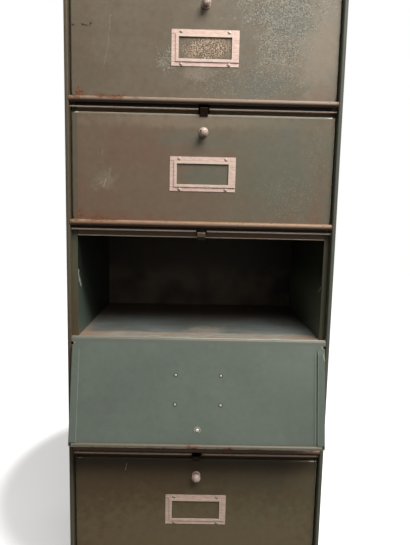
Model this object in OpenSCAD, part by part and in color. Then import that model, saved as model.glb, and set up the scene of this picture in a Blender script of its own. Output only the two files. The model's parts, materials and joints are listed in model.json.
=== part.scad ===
// Steel column cabinet with five drop-front flaps.
// Frame: +Z up, the front faces -Y, the origin lies on the floor under the middle
// of the whole cabinet with its middle flap hanging open. All lengths in millimetres.

/* [Case] */
// Width over the two side sheets
case_w = 400; // [340:1:480]
// Depth from the front faces to the rear edges
case_d = 290; // [250:1:360]
// Height of one compartment, from hinge to hinge
pitch = 176.8; // [160:0.1:210]
// Height of the lowest hinge above the floor
low_hinge_z = 86; // [70:1:130]
// Height of the top sheet above the ceiling panel
cap_rise = 12.9; // [8:0.1:40]
// Thickness of the case sheets
sheet = 1; // [0.8:0.1:1.2]
// Gap between the two skins of a side wall
wall_gap = 11.5; // [9:0.5:20]

/* [Front posts] */
// Width of a post's front face
face_w = 6; // [5:0.5:10]
// Depth from a post's front face to the stop behind the flaps
recess = 14.2; // [13.9:0.1:18]
// Outside radius of the folded front edges
fold_r = 2; // [1.5:0.1:2.5]
// Width of the hidden leg that holds the stop angle
stop_leg = 7.5; // [6:0.5:8]
// Width of the turned-in flanges at the rear and foot
foot_flange = 12; // [8:0.5:12]
// Distance from the rear edges in to the back panel
back_inset = 7.5; // [6:0.5:20]

/* [Shelves and rails] */
// Height of a shelf above its hinge axis
shelf_rise = 2.1; // [1:0.1:3.5]
// Depth of the folded edge round a shelf
shelf_fold = 10; // [8:0.5:14]
// Gap between a shelf and the walls round it
shelf_gap = 0.3; // [0.2:0.1:1]
// Drop from a hinge axis to the rail's ledge
ledge_drop = 8.3; // [7:0.1:10]
// Height of the rail's front lip
rail_lip = 3; // [2:0.1:5]
// Depth of the rail's ledge ahead of the stop
rail_ledge = 7.2; // [6:0.1:9]
// Height of the rail's stop face
rail_stop = 11.6; // [11:0.1:14]
// Width of the folded edge behind the stop face
rail_hem = 3; // [2:0.1:5]

/* [Flaps] */
// Gap between a flap and the post at each side
flap_gap = 2.7; // [2:0.1:5]
// Gap between a rail's ledge and the flap under it
flap_drop = 8.5; // [7:0.1:9.5]
// Depth of the folded edges of a flap
pan_depth = 7; // [5:0.1:7]
// Width of the lips folded back along a flap's sides
lip_w = 11; // [8:0.5:16]
// Length cut from each end of a flap's rolled top edge
roll_relief = 4; // [3:0.5:8]
// Distance from the front faces back to the hinge axis
hinge_y = 3.5; // [3.3:0.1:4]
// Outside radius of the curl round the hinge rod
curl_r = 4.25; // [3.8:0.05:4.5]
// Running clearance of a curl on its rod
rod_clear = 0.05; // [0.03:0.01:0.1]
// Radius of the turned-down ends of a hinge rod
journal_r = 1.9; // [1.5:0.1:2]
// Opening angle of a flap that leans on the knob below it
open_angle = 168; // [160:0.5:168]

/* [Knobs] */
// Height of a knob above the hinge axis
knob_rise = 133; // [120:0.5:140]
// Length of a knob ahead of the flap
knob_len = 15; // [12:0.5:15]
// Radius of a knob's head
knob_r = 6.8; // [5.5:0.1:8]
// Radius of a knob's neck
neck_r = 3.6; // [3:0.1:4.5]
// Radius of a knob's foot
knob_foot_r = 5.2; // [4.6:0.1:6]
// Radius of the screw that holds a knob
knob_screw_r = 1.6; // [1.2:0.1:2]
// Radius of the washer under the screw's head
washer_r = 4.8; // [4:0.1:7]

/* [Label holders] */
// Width of a label holder
label_w = 96.5; // [80:0.5:120]
// Height of a label holder
label_h = 50; // [44:0.5:60]
// Width of the window
window_w = 76; // [60:0.5:78]
// Height of the window
window_h = 30; // [24:0.5:31]
// Height of the label holder's middle above the hinge axis
label_rise = 74; // [66:0.5:80]
// Width of the flat border that is riveted down
border_w = 6; // [4.5:0.1:7]
// Space for a card behind the raised frame
card_gap = 1.2; // [0.8:0.1:1.6]
// Thickness of the label holder's sheet
label_t = 0.7; // [0.5:0.1:0.9]
// Distance between the rivets across the holder
rivet_span = 68.5; // [56:0.5:74]
// Radius of the label rivets
rivet_r = 1.1; // [0.8:0.1:1.3]

/* [Catches] */
// Width of a catch spring
catch_w = 12; // [10:0.5:16]
// Thickness of a catch spring
catch_t = 0.8; // [0.6:0.1:1]
// Reach of a catch's nose ahead of the rail's lip
catch_reach = 8; // [7:0.1:8]
// Height of a catch's nose
catch_drop = 11; // [10.2:0.1:12]
// Distance from the front faces back to a spring's rear end
catch_back = 62; // [50:1:80]
// Angle that a relaxed spring hangs down
catch_sag = 2.6; // [1:0.1:3]
// Width of the slot that a spring passes through
slot_w = 16; // [15:0.5:22]
// Radius of the rivets that hold a spring
catch_rivet_r = 1.6; // [1.2:0.1:2]

/* [Hidden] */
$fn = 48;

// Compartments are counted from the top; flap 3 hangs open, the others are shut.
tiers = 5;
open_tier = 3;

// Clearances that pieces share
seat = 0.3;             // a piece beside what carries it
cut = 1;                // how far a cutting shape runs past what it cuts

// Heights of the hinge axes; index 0 is the axis that a flap above the top would have.
function axis_z(k) = low_hinge_z + (tiers - k) * pitch;
function rest_angle(k) = k == open_tier ? open_angle : 0;
ceiling_z = axis_z(0) + shelf_rise;
case_h = ceiling_z + cap_rise;

// Widths
clear_w = case_w - 2 * face_w;                       // between the posts
inner_w = case_w - 2 * (2 * sheet + wall_gap);       // between the liners
bead_w = clear_w - 2 * seat;
flap_w = bead_w - 2 * (flap_gap - seat);
shelf_w = inner_w - 2 * shelf_gap;

// Places front to back, measured from the posts' front faces
stop_y = recess;
liner_y = stop_y + sheet;
lip_y = stop_y - rail_ledge;
back_y = case_d - back_inset;                        // front face of the back panel
shelf_y = hinge_y + curl_r + 2 * seat;
liner_low_z = axis_z(tiers) - ledge_drop - shelf_fold;

// Rivets
rivet_head = 0.6;                                    // height of a head
rivet_flare = 1.6;                                   // a head's radius by its shank's
rivet_clear = 0.1;                                   // room round a shank in the sheet

// A flap in its own axes: y is the distance behind the hinge axis, z the height above it.
rod_r = curl_r - sheet - rod_clear;
bore_r = curl_r - sheet;
face_t = bore_r;                                     // outer face of the panel
flap_len = pitch - ledge_drop - flap_drop;
roll_r = pan_depth / 2;
pan_start = 2 * curl_r;                              // where the folded sides begin
bead_top = curl_r + sheet / 2;                       // top of the full-width stretch
curl_open = [8, 52];                                 // gap in the curl, in degrees
roll_open = [180, 290];                              // gap in the rolled top edge
pan_r = 1.5 * sheet;                                 // outside radius of the flap's folds
knob_hole_r = knob_screw_r + seat;
rivet_hole_r = rivet_r + rivet_clear;

// The open flap reaches furthest forward, at the corners of its folded sides.
front_reach = (flap_len - pan_r) * sin(open_angle) - (face_t + pan_depth) * cos(open_angle)
    - hinge_y;
front_y = -(case_d - front_reach) / 2;

// Label holder
raised_h = label_h - 2 * border_w;
raised_z = card_gap + label_t;
rivet_drop = label_h / 2 - border_w / 2;

// Knob
screw_clear = 0.05;
knob_bore_r = knob_screw_r + screw_clear;
knob_bore = 8;
crown = 3;                                           // height of the domed head's crown
rim_r = 1.6;                                         // rounding of the head's rim
foot_h = 1.2;
washer_t = 0.8;
washer_clear = 0.2;                                  // room round the screw in its washer
screw_head_r = 3.2;
screw_head_h = 2;
driver_slot = 0.8;                                   // width of the slot in the screw's head

// Catch spring: points on its middle line, y back from the front faces, z from the axis above
leaf_z = -ledge_drop - sheet;
catch_y = lip_y - catch_reach;
mount_z = shelf_rise - sheet - catch_t / 2;
mount_len = 15;                                      // length riveted against the shelf
leaf_run = 6;                                        // level stretch behind the stop face
bend_y = stop_y + leaf_run;                          // where the leaf levels out behind the rail
catch_path = [
    [catch_back, mount_z], [catch_back - mount_len, mount_z], [bend_y, leaf_z],
    [catch_y + catch_t / 2, leaf_z],
    [hinge_y + face_t - catch_t, leaf_z - catch_drop]
];
rivet_edge = 6;
rivet_y = catch_back - rivet_edge;                   // rivets, near the spring's rear end
rivet_x = 3.2;                                       // half the distance between a spring's rivets
slot_below = 5.7;                                    // room under a leaf in the rail's slot
slot_above = 5;                                      // room over a leaf in the shelf's notch

// Colours
paint = "#5f6353";
inner_paint = "#6b776c";
dark_paint = "#45463c";
alloy = "#c9bdb4";
steel = "#8a8a86";
spring_steel = "#4a3c32";

// Extrudes a shape drawn in (y, z) along X, centred.
module along_x(w) rotate([90, 0, 90]) linear_extrude(height = w, center = true) children();

// Puts pieces that are drawn from the posts' front faces into the part's frame.
module in_case() translate([0, front_y, 0]) children();

// Puts pieces drawn about hinge axis k in place, turned to where the flap rests.
module on_flap(k)
    in_case() translate([0, hinge_y, axis_z(k)]) rotate([rest_angle(k), 0, 0]) children();

// One quarter of a folded sheet's bend, about its centre, from +x round to +y.
module bend(r, t) {
    intersection() {
        difference() {
            circle(r);
            circle(r - t);
        }
        square(r);
    }
}

// A ring with the sector between two angles left out.
module open_ring(r, t, from, to) {
    far = 2 * r;
    difference() {
        circle(r);
        circle(r - t);
        polygon([[0, 0], far * [cos(from), sin(from)],
                 far * [cos((from + to) / 2), sin((from + to) / 2)], far * [cos(to), sin(to)]]);
    }
}

// A strip of sheet along a line of points, with round joints.
module strip(path, t) {
    for (i = [0 : len(path) - 2]) {
        step = path[i + 1] - path[i];
        translate(path[i]) rotate(atan2(step[1], step[0])) translate([0, -t / 2])
            square([norm(step), t]);
    }
    for (i = [1 : len(path) - 2]) translate(path[i]) circle(t / 2);
}

// Low domed head on z = 0, straight for the lowest third of its height.
module dome_head(r, h) {
    rise = 2 * h / 3;
    dome_r = (r * r + rise * rise) / (2 * rise);
    intersection() {
        cylinder(r = r, h = h);
        translate([0, 0, h - dome_r]) sphere(r = dome_r);
    }
}

// ---- Case ----

// Plan of the left side sheet: rear flange, side, front face and the return with the hinges.
module side_plan() {
    half = case_w / 2;
    web_x = -clear_w / 2 - sheet;
    translate([-half, fold_r]) square([sheet, case_d - fold_r]);
    translate([-half + fold_r, fold_r]) rotate(180) bend(fold_r, sheet);
    translate([-half + fold_r, 0]) square([face_w - 2 * fold_r, sheet]);
    translate([web_x + sheet - fold_r, fold_r]) rotate(270) bend(fold_r, sheet);
    translate([web_x, fold_r]) square([sheet, stop_y - fold_r]);
    translate([-half, case_d - sheet]) square([foot_flange, sheet]);
}

module side_skin() {
    half = case_w / 2;
    color(paint) in_case() difference() {
        union() {
            linear_extrude(height = case_h - sheet) side_plan();
            translate([-half, fold_r, 0]) cube([foot_flange, case_d - fold_r, sheet]);
        }
        for (k = [1 : tiers])
            translate([-clear_w / 2 - sheet - cut, hinge_y, axis_z(k)]) rotate([0, 90, 0])
                cylinder(r = journal_r + rod_clear, h = sheet + 2 * cut);
    }
}

// Angle behind each post: its flange is the stop that the flap shuts against.
module stop_angle() {
    leg_x = -clear_w / 2 - 2 * sheet;
    color(dark_paint) in_case() translate([0, 0, sheet])
        linear_extrude(height = case_h - 2 * sheet) {
            translate([leg_x, stop_y]) square([-inner_w / 2 - leg_x, sheet]);
            translate([leg_x, liner_y - stop_leg]) square([sheet, stop_leg]);
        }
}

// Inner sheet of a side wall, with flanges turned out at the front and the rear.
module side_liner() {
    wall_x = -inner_w / 2 - sheet;
    flange = wall_gap - 2 * seat;
    front_flange = wall_gap / 2;
    color(inner_paint) in_case() translate([0, 0, liner_low_z])
        linear_extrude(height = case_h - sheet - liner_low_z) {
            translate([wall_x, liner_y]) square([sheet, back_y - liner_y]);
            translate([wall_x - front_flange, liner_y]) square([front_flange, sheet]);
            translate([wall_x - flange, back_y - sheet]) square([flange, sheet]);
        }
}

module back_panel() {
    outer = case_w - 2 * sheet;
    fold = case_d - sheet - back_y;
    low = sheet;
    tall = case_h - 2 * sheet;
    color(paint) in_case() translate([0, back_y, low]) {
        translate([-outer / 2, 0, 0]) cube([outer, sheet, tall]);
        for (side = [-1, 1])
            translate([side * (outer - sheet) / 2 - sheet / 2, 0, 0]) cube([sheet, fold, tall]);
        translate([-outer / 2, 0, tall - sheet]) cube([outer, fold, sheet]);
        translate([-outer / 2, 0, 0]) cube([outer, fold, sheet]);
    }
}

// Top sheet with a fascia between the posts that stands on the top rail's ledge.
module top_cap() {
    ledge_z = axis_z(0) - ledge_drop;
    flange = cap_rise - sheet - 2 * seat;
    color(paint) in_case() {
        translate([-case_w / 2, fold_r, case_h - sheet]) cube([case_w, case_d - fold_r, sheet]);
        for (side = [0, 1])
            mirror([side, 0, 0]) translate([clear_w / 2 - seat, 0, case_h - sheet])
                cube([face_w + seat, fold_r, sheet]);
        along_x(clear_w - 2 * seat) {
            translate([fold_r, case_h - fold_r]) rotate(90) bend(fold_r, sheet);
            translate([0, ledge_z + fold_r]) square([sheet, case_h - 2 * fold_r - ledge_z]);
            translate([fold_r, ledge_z + fold_r]) rotate(180) bend(fold_r, sheet);
            translate([fold_r, ledge_z]) square([shelf_y - seat - fold_r, sheet]);
        }
        for (side = [-1, 1])
            translate([side * (inner_w / 2 - seat) - (side + 1) * sheet / 2, liner_y + sheet,
                       case_h - sheet - flange])
                cube([sheet, back_y - liner_y - sheet - seat, flange]);
    }
}

// Lowest front piece: the lowest hinge's ledge, then a plain face down to the floor.
module kick_plate() {
    top_z = axis_z(tiers) - ledge_drop;
    color(paint) in_case() {
        along_x(clear_w) {
            translate([lip_y, sheet]) square([sheet, top_z - sheet - fold_r]);
            translate([lip_y + fold_r, top_z - fold_r]) rotate(90) bend(fold_r, sheet);
            translate([lip_y + fold_r, top_z - sheet])
                square([stop_y - lip_y - fold_r, sheet]);
        }
        along_x(inner_w) translate([lip_y, 0]) square([foot_flange, sheet]);
        along_x(shelf_w) translate([stop_y, top_z - sheet]) square([foot_flange, sheet]);
    }
}

// ---- Shelves and rails ----

// Shelf above or below compartments: flat sheet, edges folded down all round.
module shelf(k) {
    z = axis_z(k) + shelf_rise;
    deep = back_y - seat - shelf_y;
    front_fold = shelf_rise + ledge_drop;
    color(inner_paint) in_case() difference() {
        translate([0, shelf_y, z]) {
            translate([-shelf_w / 2, 0, -sheet]) cube([shelf_w, deep, sheet]);
            translate([-shelf_w / 2, 0, -front_fold]) cube([shelf_w, sheet, front_fold]);
            translate([-shelf_w / 2, deep - sheet, -shelf_fold]) cube([shelf_w, sheet, shelf_fold]);
            for (side = [-1, 1])
                translate([side * (shelf_w - sheet) / 2 - sheet / 2, liner_y + rail_hem - shelf_y
                           + seat, -shelf_fold])
                    cube([sheet, deep + shelf_y - liner_y - rail_hem - seat, shelf_fold]);
        }
        if (k < tiers) {
            translate([-slot_w / 2, shelf_y - cut, z - front_fold - cut])
                cube([slot_w, sheet + 2 * cut, slot_above + cut]);
            at_catch_rivets(k + 1)
                cylinder(r = catch_rivet_r + rivet_clear, h = 4 * sheet, center = true);
        }
    }
}

// Rail under a hinge: lip, ledge, stop face for the flap below, and a hem behind it.
module front_rail(k) {
    z0 = axis_z(k - 1) - ledge_drop;
    color(paint) in_case() difference() {
        translate([0, 0, z0]) {
            along_x(clear_w) {
                translate([lip_y, -rail_lip]) square([sheet, rail_lip - fold_r]);
                translate([lip_y + fold_r, -fold_r]) rotate(90) bend(fold_r, sheet);
                translate([lip_y + fold_r, -sheet]) square([stop_y - lip_y - fold_r, sheet]);
            }
            along_x(shelf_w) {
                translate([stop_y - sheet, -sheet]) square([2 * sheet, sheet]);
                translate([stop_y, -rail_stop]) square([sheet, rail_stop]);
                translate([stop_y, -rail_stop]) square([rail_hem + sheet, sheet]);
            }
        }
        translate([-slot_w / 2, lip_y - cut, z0 - sheet - slot_below])
            cube([slot_w, rail_ledge + sheet + 2 * cut, sheet + slot_below + cut]);
    }
}

// Hinge rod: thick where the flap turns on it, with thin ends held in the posts.
module hinge_rod(k) {
    thick = bead_w;
    tail = clear_w / 2 + 1.5 * sheet;
    color(steel) in_case() translate([0, hinge_y, axis_z(k)]) rotate([0, 90, 0]) {
        cylinder(r = rod_r, h = thick, center = true);
        cylinder(r = journal_r, h = 2 * tail, center = true);
    }
}

// ---- Flaps ----

// Sheet of a flap in (y, z): curl round the rod, flat panel, rolled top edge.
module curl_profile() {
    open_ring(curl_r, sheet, curl_open[0], curl_open[1]);
    translate([face_t, 0]) square([sheet, bead_top]);
}

module panel_profile() {
    translate([face_t, 0]) square([sheet, flap_len - roll_r]);
}

module roll_profile() {
    translate([face_t + roll_r, flap_len - roll_r])
        open_ring(roll_r, sheet, roll_open[0], roll_open[1]);
}

// Folded right side of a flap in plan: bend, side, bend and a lip parallel to the panel.
module pan_side_plan() {
    edge = flap_w / 2;
    translate([edge - pan_r, face_t + pan_r]) rotate(270) bend(pan_r, sheet);
    translate([edge - sheet, face_t + pan_r]) square([sheet, pan_depth - 2 * pan_r]);
    translate([edge - pan_r, face_t + pan_depth - pan_r]) bend(pan_r, sheet);
    translate([edge - lip_w, face_t + pan_depth - sheet]) square([lip_w - pan_r, sheet]);
}

// One folded side; the lip starts with a mitre and stops short of the rolled edge.
module pan_side() {
    lip_top = flap_len - 2 * roll_r - seat;
    inward = flap_w / 2 - lip_w - cut;
    difference() {
        translate([0, 0, pan_start]) linear_extrude(height = flap_len - pan_start - pan_r)
            pan_side_plan();
        translate([inward, face_t + sheet + seat, lip_top])
            cube([lip_w + cut - sheet - seat, pan_depth, 3 * roll_r]);
        translate([flap_w / 2 - sheet - seat, face_t + pan_depth, pan_start]) rotate([0, -45, 0])
            translate([-2 * lip_w, -pan_depth + sheet + seat, -lip_w])
                cube([2 * lip_w, pan_depth, lip_w]);
    }
}

module flap_panel(k) {
    color(k == open_tier ? inner_paint : paint) on_flap(k) difference() {
        union() {
            along_x(bead_w) curl_profile();
            along_x(flap_w - 2 * pan_r) panel_profile();
            along_x(flap_w - 2 * roll_relief) roll_profile();
            for (side = [0, 1]) {
                mirror([side, 0, 0]) pan_side();
                mirror([side, 0, 0]) translate([flap_w / 2 - roll_relief, face_t,
                                                flap_len - roll_r])
                    cube([roll_relief - pan_r, sheet, roll_r - pan_r]);
            }
        }
        translate([0, face_t - cut, knob_rise]) rotate([-90, 0, 0])
            cylinder(r = knob_hole_r, h = sheet + 2 * cut);
        at_label_rivets() cylinder(r = rivet_hole_r, h = 4 * sheet, center = true);
    }
}

// ---- Knobs ----

// Half section of a knob: x is the radius, y the distance ahead of the flap.
module knob_section() {
    head_h = crown + 2 * rim_r;
    neck_h = knob_len - head_h;
    crown_r = (pow(knob_r - rim_r, 2) + pow(crown, 2)) / (2 * crown);
    square([knob_foot_r, foot_h]);
    difference() {
        square([knob_r - rim_r, neck_h + rim_r]);
        translate([neck_r + neck_h - foot_h, foot_h + (neck_h - foot_h) / 2 + rim_r / 2])
            circle(neck_h - foot_h);
        translate([knob_foot_r, foot_h]) square([knob_r, neck_h / 2]);
    }
    translate([0, neck_h]) square([knob_r - rim_r, 2 * rim_r]);
    translate([knob_r - rim_r, neck_h + rim_r]) circle(rim_r);
    intersection() {
        translate([0, knob_len - crown_r]) circle(crown_r);
        translate([0, knob_len - crown]) square([knob_r - rim_r, crown]);
    }
}

module knob(k) {
    color(alloy) on_flap(k) translate([0, face_t, knob_rise]) rotate([90, 0, 0]) difference() {
        rotate_extrude() intersection() {
            knob_section();
            square([knob_r, knob_len]);
        }
        translate([0, 0, -cut]) cylinder(r = knob_bore_r, h = knob_bore + cut);
    }
}

// Screw from inside the flap into the knob, with its washer.
module knob_screw(k) {
    inside = face_t + sheet;
    color(steel) on_flap(k) translate([0, inside, knob_rise]) rotate([-90, 0, 0]) {
        difference() {
            cylinder(r = washer_r, h = washer_t);
            translate([0, 0, -cut])
                cylinder(r = knob_screw_r + washer_clear, h = washer_t + 2 * cut);
        }
        translate([0, 0, washer_t]) difference() {
            dome_head(screw_head_r, screw_head_h);
            translate([-screw_head_r, -driver_slot / 2, screw_head_h / 2])
                cube([2 * screw_head_r, driver_slot, screw_head_h]);
        }
        translate([0, 0, -sheet - knob_bore + cut])
            cylinder(r = knob_screw_r, h = sheet + knob_bore - cut + washer_t);
    }
}

// ---- Label holders ----

// Places children on the panel's face at the four rivets, z pointing ahead of the flap.
module at_label_rivets()
    for (x = [-1, 1], z = [-1, 1])
        translate([x * rivet_span / 2, face_t, label_rise + z * rivet_drop]) rotate([90, 0, 0])
            children();

// Pressed frame: flat border on three sides, raised channel for a card, open at the right.
module label_frame(k) {
    raised_w = label_w - border_w;
    color(alloy) on_flap(k) translate([0, face_t, label_rise]) rotate([90, 0, 0]) difference() {
        union() {
            translate([-label_w / 2, -label_h / 2, 0]) cube([label_w, label_h, label_t]);
            translate([-label_w / 2 + border_w, -raised_h / 2, 0])
                cube([raised_w, raised_h, raised_z]);
        }
        translate([-label_w / 2 + border_w + label_t, -raised_h / 2 + label_t, -cut])
            cube([raised_w, raised_h - 2 * label_t, card_gap + cut]);
        translate([-window_w / 2, -window_h / 2, -cut]) cube([window_w, window_h, 3 * raised_z]);
        for (x = [-1, 1], y = [-1, 1])
            translate([x * rivet_span / 2, y * rivet_drop, -cut])
                cylinder(r = rivet_hole_r, h = label_t + 2 * cut);
    }
}

// Four rivets with a low head on each side of the flap.
module label_rivets(k) {
    head_r = rivet_flare * rivet_r;
    color(alloy) on_flap(k) at_label_rivets() {
        translate([0, 0, -sheet]) cylinder(r = rivet_r, h = sheet + label_t);
        translate([0, 0, label_t]) dome_head(head_r, rivet_head);
        translate([0, 0, -sheet]) mirror([0, 0, 1]) dome_head(head_r, rivet_head);
    }
}

// ---- Catches ----

// Places children about the hinge axis above compartment k, turned with its spring.
module at_catch(k) {
    sag = k == open_tier ? catch_sag : 0;
    translate([0, catch_back, axis_z(k - 1) + mount_z]) rotate([sag, 0, 0])
        translate([0, -catch_back, -mount_z]) children();
}

module at_catch_rivets(k)
    at_catch(k) for (x = [-1, 1])
        translate([x * rivet_x, rivet_y, mount_z]) children();

// Spring leaf under a shelf; its nose hooks over the top edge of the flap below.
module catch_spring(k) {
    color(spring_steel) in_case() difference() {
        at_catch(k) along_x(catch_w) strip(catch_path, catch_t);
        at_catch_rivets(k)
            cylinder(r = catch_rivet_r + rivet_clear, h = 4 * catch_t, center = true);
    }
}

// Two rivets through each spring and the shelf, heads below.
module catch_rivets() {
    head_r = rivet_flare * catch_rivet_r;
    color(steel) in_case() for (k = [1 : tiers]) at_catch_rivets(k) {
        translate([0, 0, -catch_t / 2]) {
            cylinder(r = catch_rivet_r, h = catch_t + sheet);
            mirror([0, 0, 1]) dome_head(head_r, rivet_head);
        }
    }
}

side_skin();  // side_skin_left
mirror([1, 0, 0]) side_skin();  // side_skin_right
stop_angle();  // stop_angle_left
mirror([1, 0, 0]) stop_angle();  // stop_angle_right
side_liner();  // side_liner_left
mirror([1, 0, 0]) side_liner();  // side_liner_right
back_panel();
top_cap();
kick_plate();
shelf(0);  // ceiling_panel
shelf(1);  // shelf_1
shelf(2);  // shelf_2
shelf(3);  // shelf_3
shelf(4);  // shelf_4
shelf(5);  // bottom_shelf
front_rail(1);  // front_rail_1
front_rail(2);  // front_rail_2
front_rail(3);  // front_rail_3
front_rail(4);  // front_rail_4
front_rail(5);  // front_rail_5
hinge_rod(1);  // hinge_rod_1
hinge_rod(2);  // hinge_rod_2
hinge_rod(3);  // hinge_rod_3
hinge_rod(4);  // hinge_rod_4
hinge_rod(5);  // hinge_rod_5
flap_panel(1);  // flap_panel_1
flap_panel(2);  // flap_panel_2
flap_panel(3);  // flap_panel_3
flap_panel(4);  // flap_panel_4
flap_panel(5);  // flap_panel_5
knob(1);  // knob_1
knob(2);  // knob_2
knob(3);  // knob_3
knob(4);  // knob_4
knob(5);  // knob_5
knob_screw(1);  // knob_screw_1
knob_screw(2);  // knob_screw_2
knob_screw(3);  // knob_screw_3
knob_screw(4);  // knob_screw_4
knob_screw(5);  // knob_screw_5
label_frame(1);  // label_frame_1
label_frame(2);  // label_frame_2
label_frame(3);  // label_frame_3
label_frame(4);  // label_frame_4
label_frame(5);  // label_frame_5
label_rivets(1);  // label_rivets_1
label_rivets(2);  // label_rivets_2
label_rivets(3);  // label_rivets_3
label_rivets(4);  // label_rivets_4
label_rivets(5);  // label_rivets_5
catch_spring(1);  // catch_spring_1
catch_spring(2);  // catch_spring_2
catch_spring(3);  // catch_spring_3
catch_spring(4);  // catch_spring_4
catch_spring(5);  // catch_spring_5
catch_rivets();
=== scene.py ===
"""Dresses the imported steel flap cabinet: worn stove enamel, aluminium fittings, a pale studio."""

import json
import logging
import math
from dataclasses import dataclass
from enum import Enum
from functools import cache, reduce
from typing import Any

import bmesh
import bpy
from mathutils import Matrix, Vector

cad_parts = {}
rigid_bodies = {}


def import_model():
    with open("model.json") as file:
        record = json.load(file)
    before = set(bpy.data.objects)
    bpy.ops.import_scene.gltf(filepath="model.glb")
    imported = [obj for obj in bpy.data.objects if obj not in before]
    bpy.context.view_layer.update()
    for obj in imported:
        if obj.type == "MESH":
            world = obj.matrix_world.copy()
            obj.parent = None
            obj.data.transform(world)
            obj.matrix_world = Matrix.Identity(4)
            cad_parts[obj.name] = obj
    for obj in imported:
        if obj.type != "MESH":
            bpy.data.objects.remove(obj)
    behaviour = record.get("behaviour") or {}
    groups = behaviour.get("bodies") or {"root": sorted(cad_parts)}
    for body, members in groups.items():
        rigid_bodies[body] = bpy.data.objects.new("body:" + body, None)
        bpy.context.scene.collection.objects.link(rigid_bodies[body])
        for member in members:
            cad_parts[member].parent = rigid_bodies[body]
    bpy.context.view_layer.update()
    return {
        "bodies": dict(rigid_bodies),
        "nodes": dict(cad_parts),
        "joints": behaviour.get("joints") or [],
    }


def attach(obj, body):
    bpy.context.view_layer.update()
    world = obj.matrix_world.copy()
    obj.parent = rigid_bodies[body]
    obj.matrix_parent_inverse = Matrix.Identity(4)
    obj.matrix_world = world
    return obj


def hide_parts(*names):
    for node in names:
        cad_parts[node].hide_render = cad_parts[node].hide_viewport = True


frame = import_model()
LOG = logging.getLogger("cabinet")

Colour = tuple[float, float, float]
Point = tuple[float, float, float]
Spot = tuple[float, float]
Span = tuple[float, float]  # where a mask is 0 and where it is 1, in millimetres
Value = Any  # a node's socket, or a plain number or vector

MM = 0.001
FLAP_PLACE = "flap_place"
HINGES = {joint["child"]: joint for joint in frame["joints"]}
TIERS = range(1, 6)
OPEN_TIER = next(tier for tier in TIERS if HINGES[f"flap_{tier}"]["range_deg"][0] < 0)
LOW_AXIS = HINGES["flap_5"]["pos_m"][2] / MM
PITCH = HINGES["flap_4"]["pos_m"][2] / MM - LOW_AXIS


@dataclass(frozen=True)
class FlapSizes:
    """Sizes of a flap in millimetres: across from its middle, up and out from its hinge axis."""

    half_width: float = 191.3
    length: float = 160.0
    face: float = 3.25
    sheet: float = 1.0
    curl: float = 4.25
    fold: float = 10.2
    knob_up: float = 133.0
    label_up: float = 74.0
    label_sheet: float = 0.7
    rivet_across: float = 34.25
    rivet_up: float = 22.0
    rivet_radius: float = 1.1


SIZE = FlapSizes()


def linear(red: float, green: float, blue: float) -> Colour:
    """Turns a colour of 0 to 255 per channel, as a screen shows it, into linear light.

    Args:
        red: Red on the screen.
        green: Green on the screen.
        blue: Blue on the screen.

    Returns:
        The colour in linear light, 0 to 1.
    """
    channels = (value / 255.0 for value in (red, green, blue))
    return tuple(c / 12.92 if c <= 0.04045 else ((c + 0.055) / 1.055) ** 2.4 for c in channels)


def scaled(colour: Colour, factor: float) -> Colour:
    """Makes a colour lighter or darker."""
    return tuple(factor * channel for channel in colour)


# ---- Node trees ----


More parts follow.
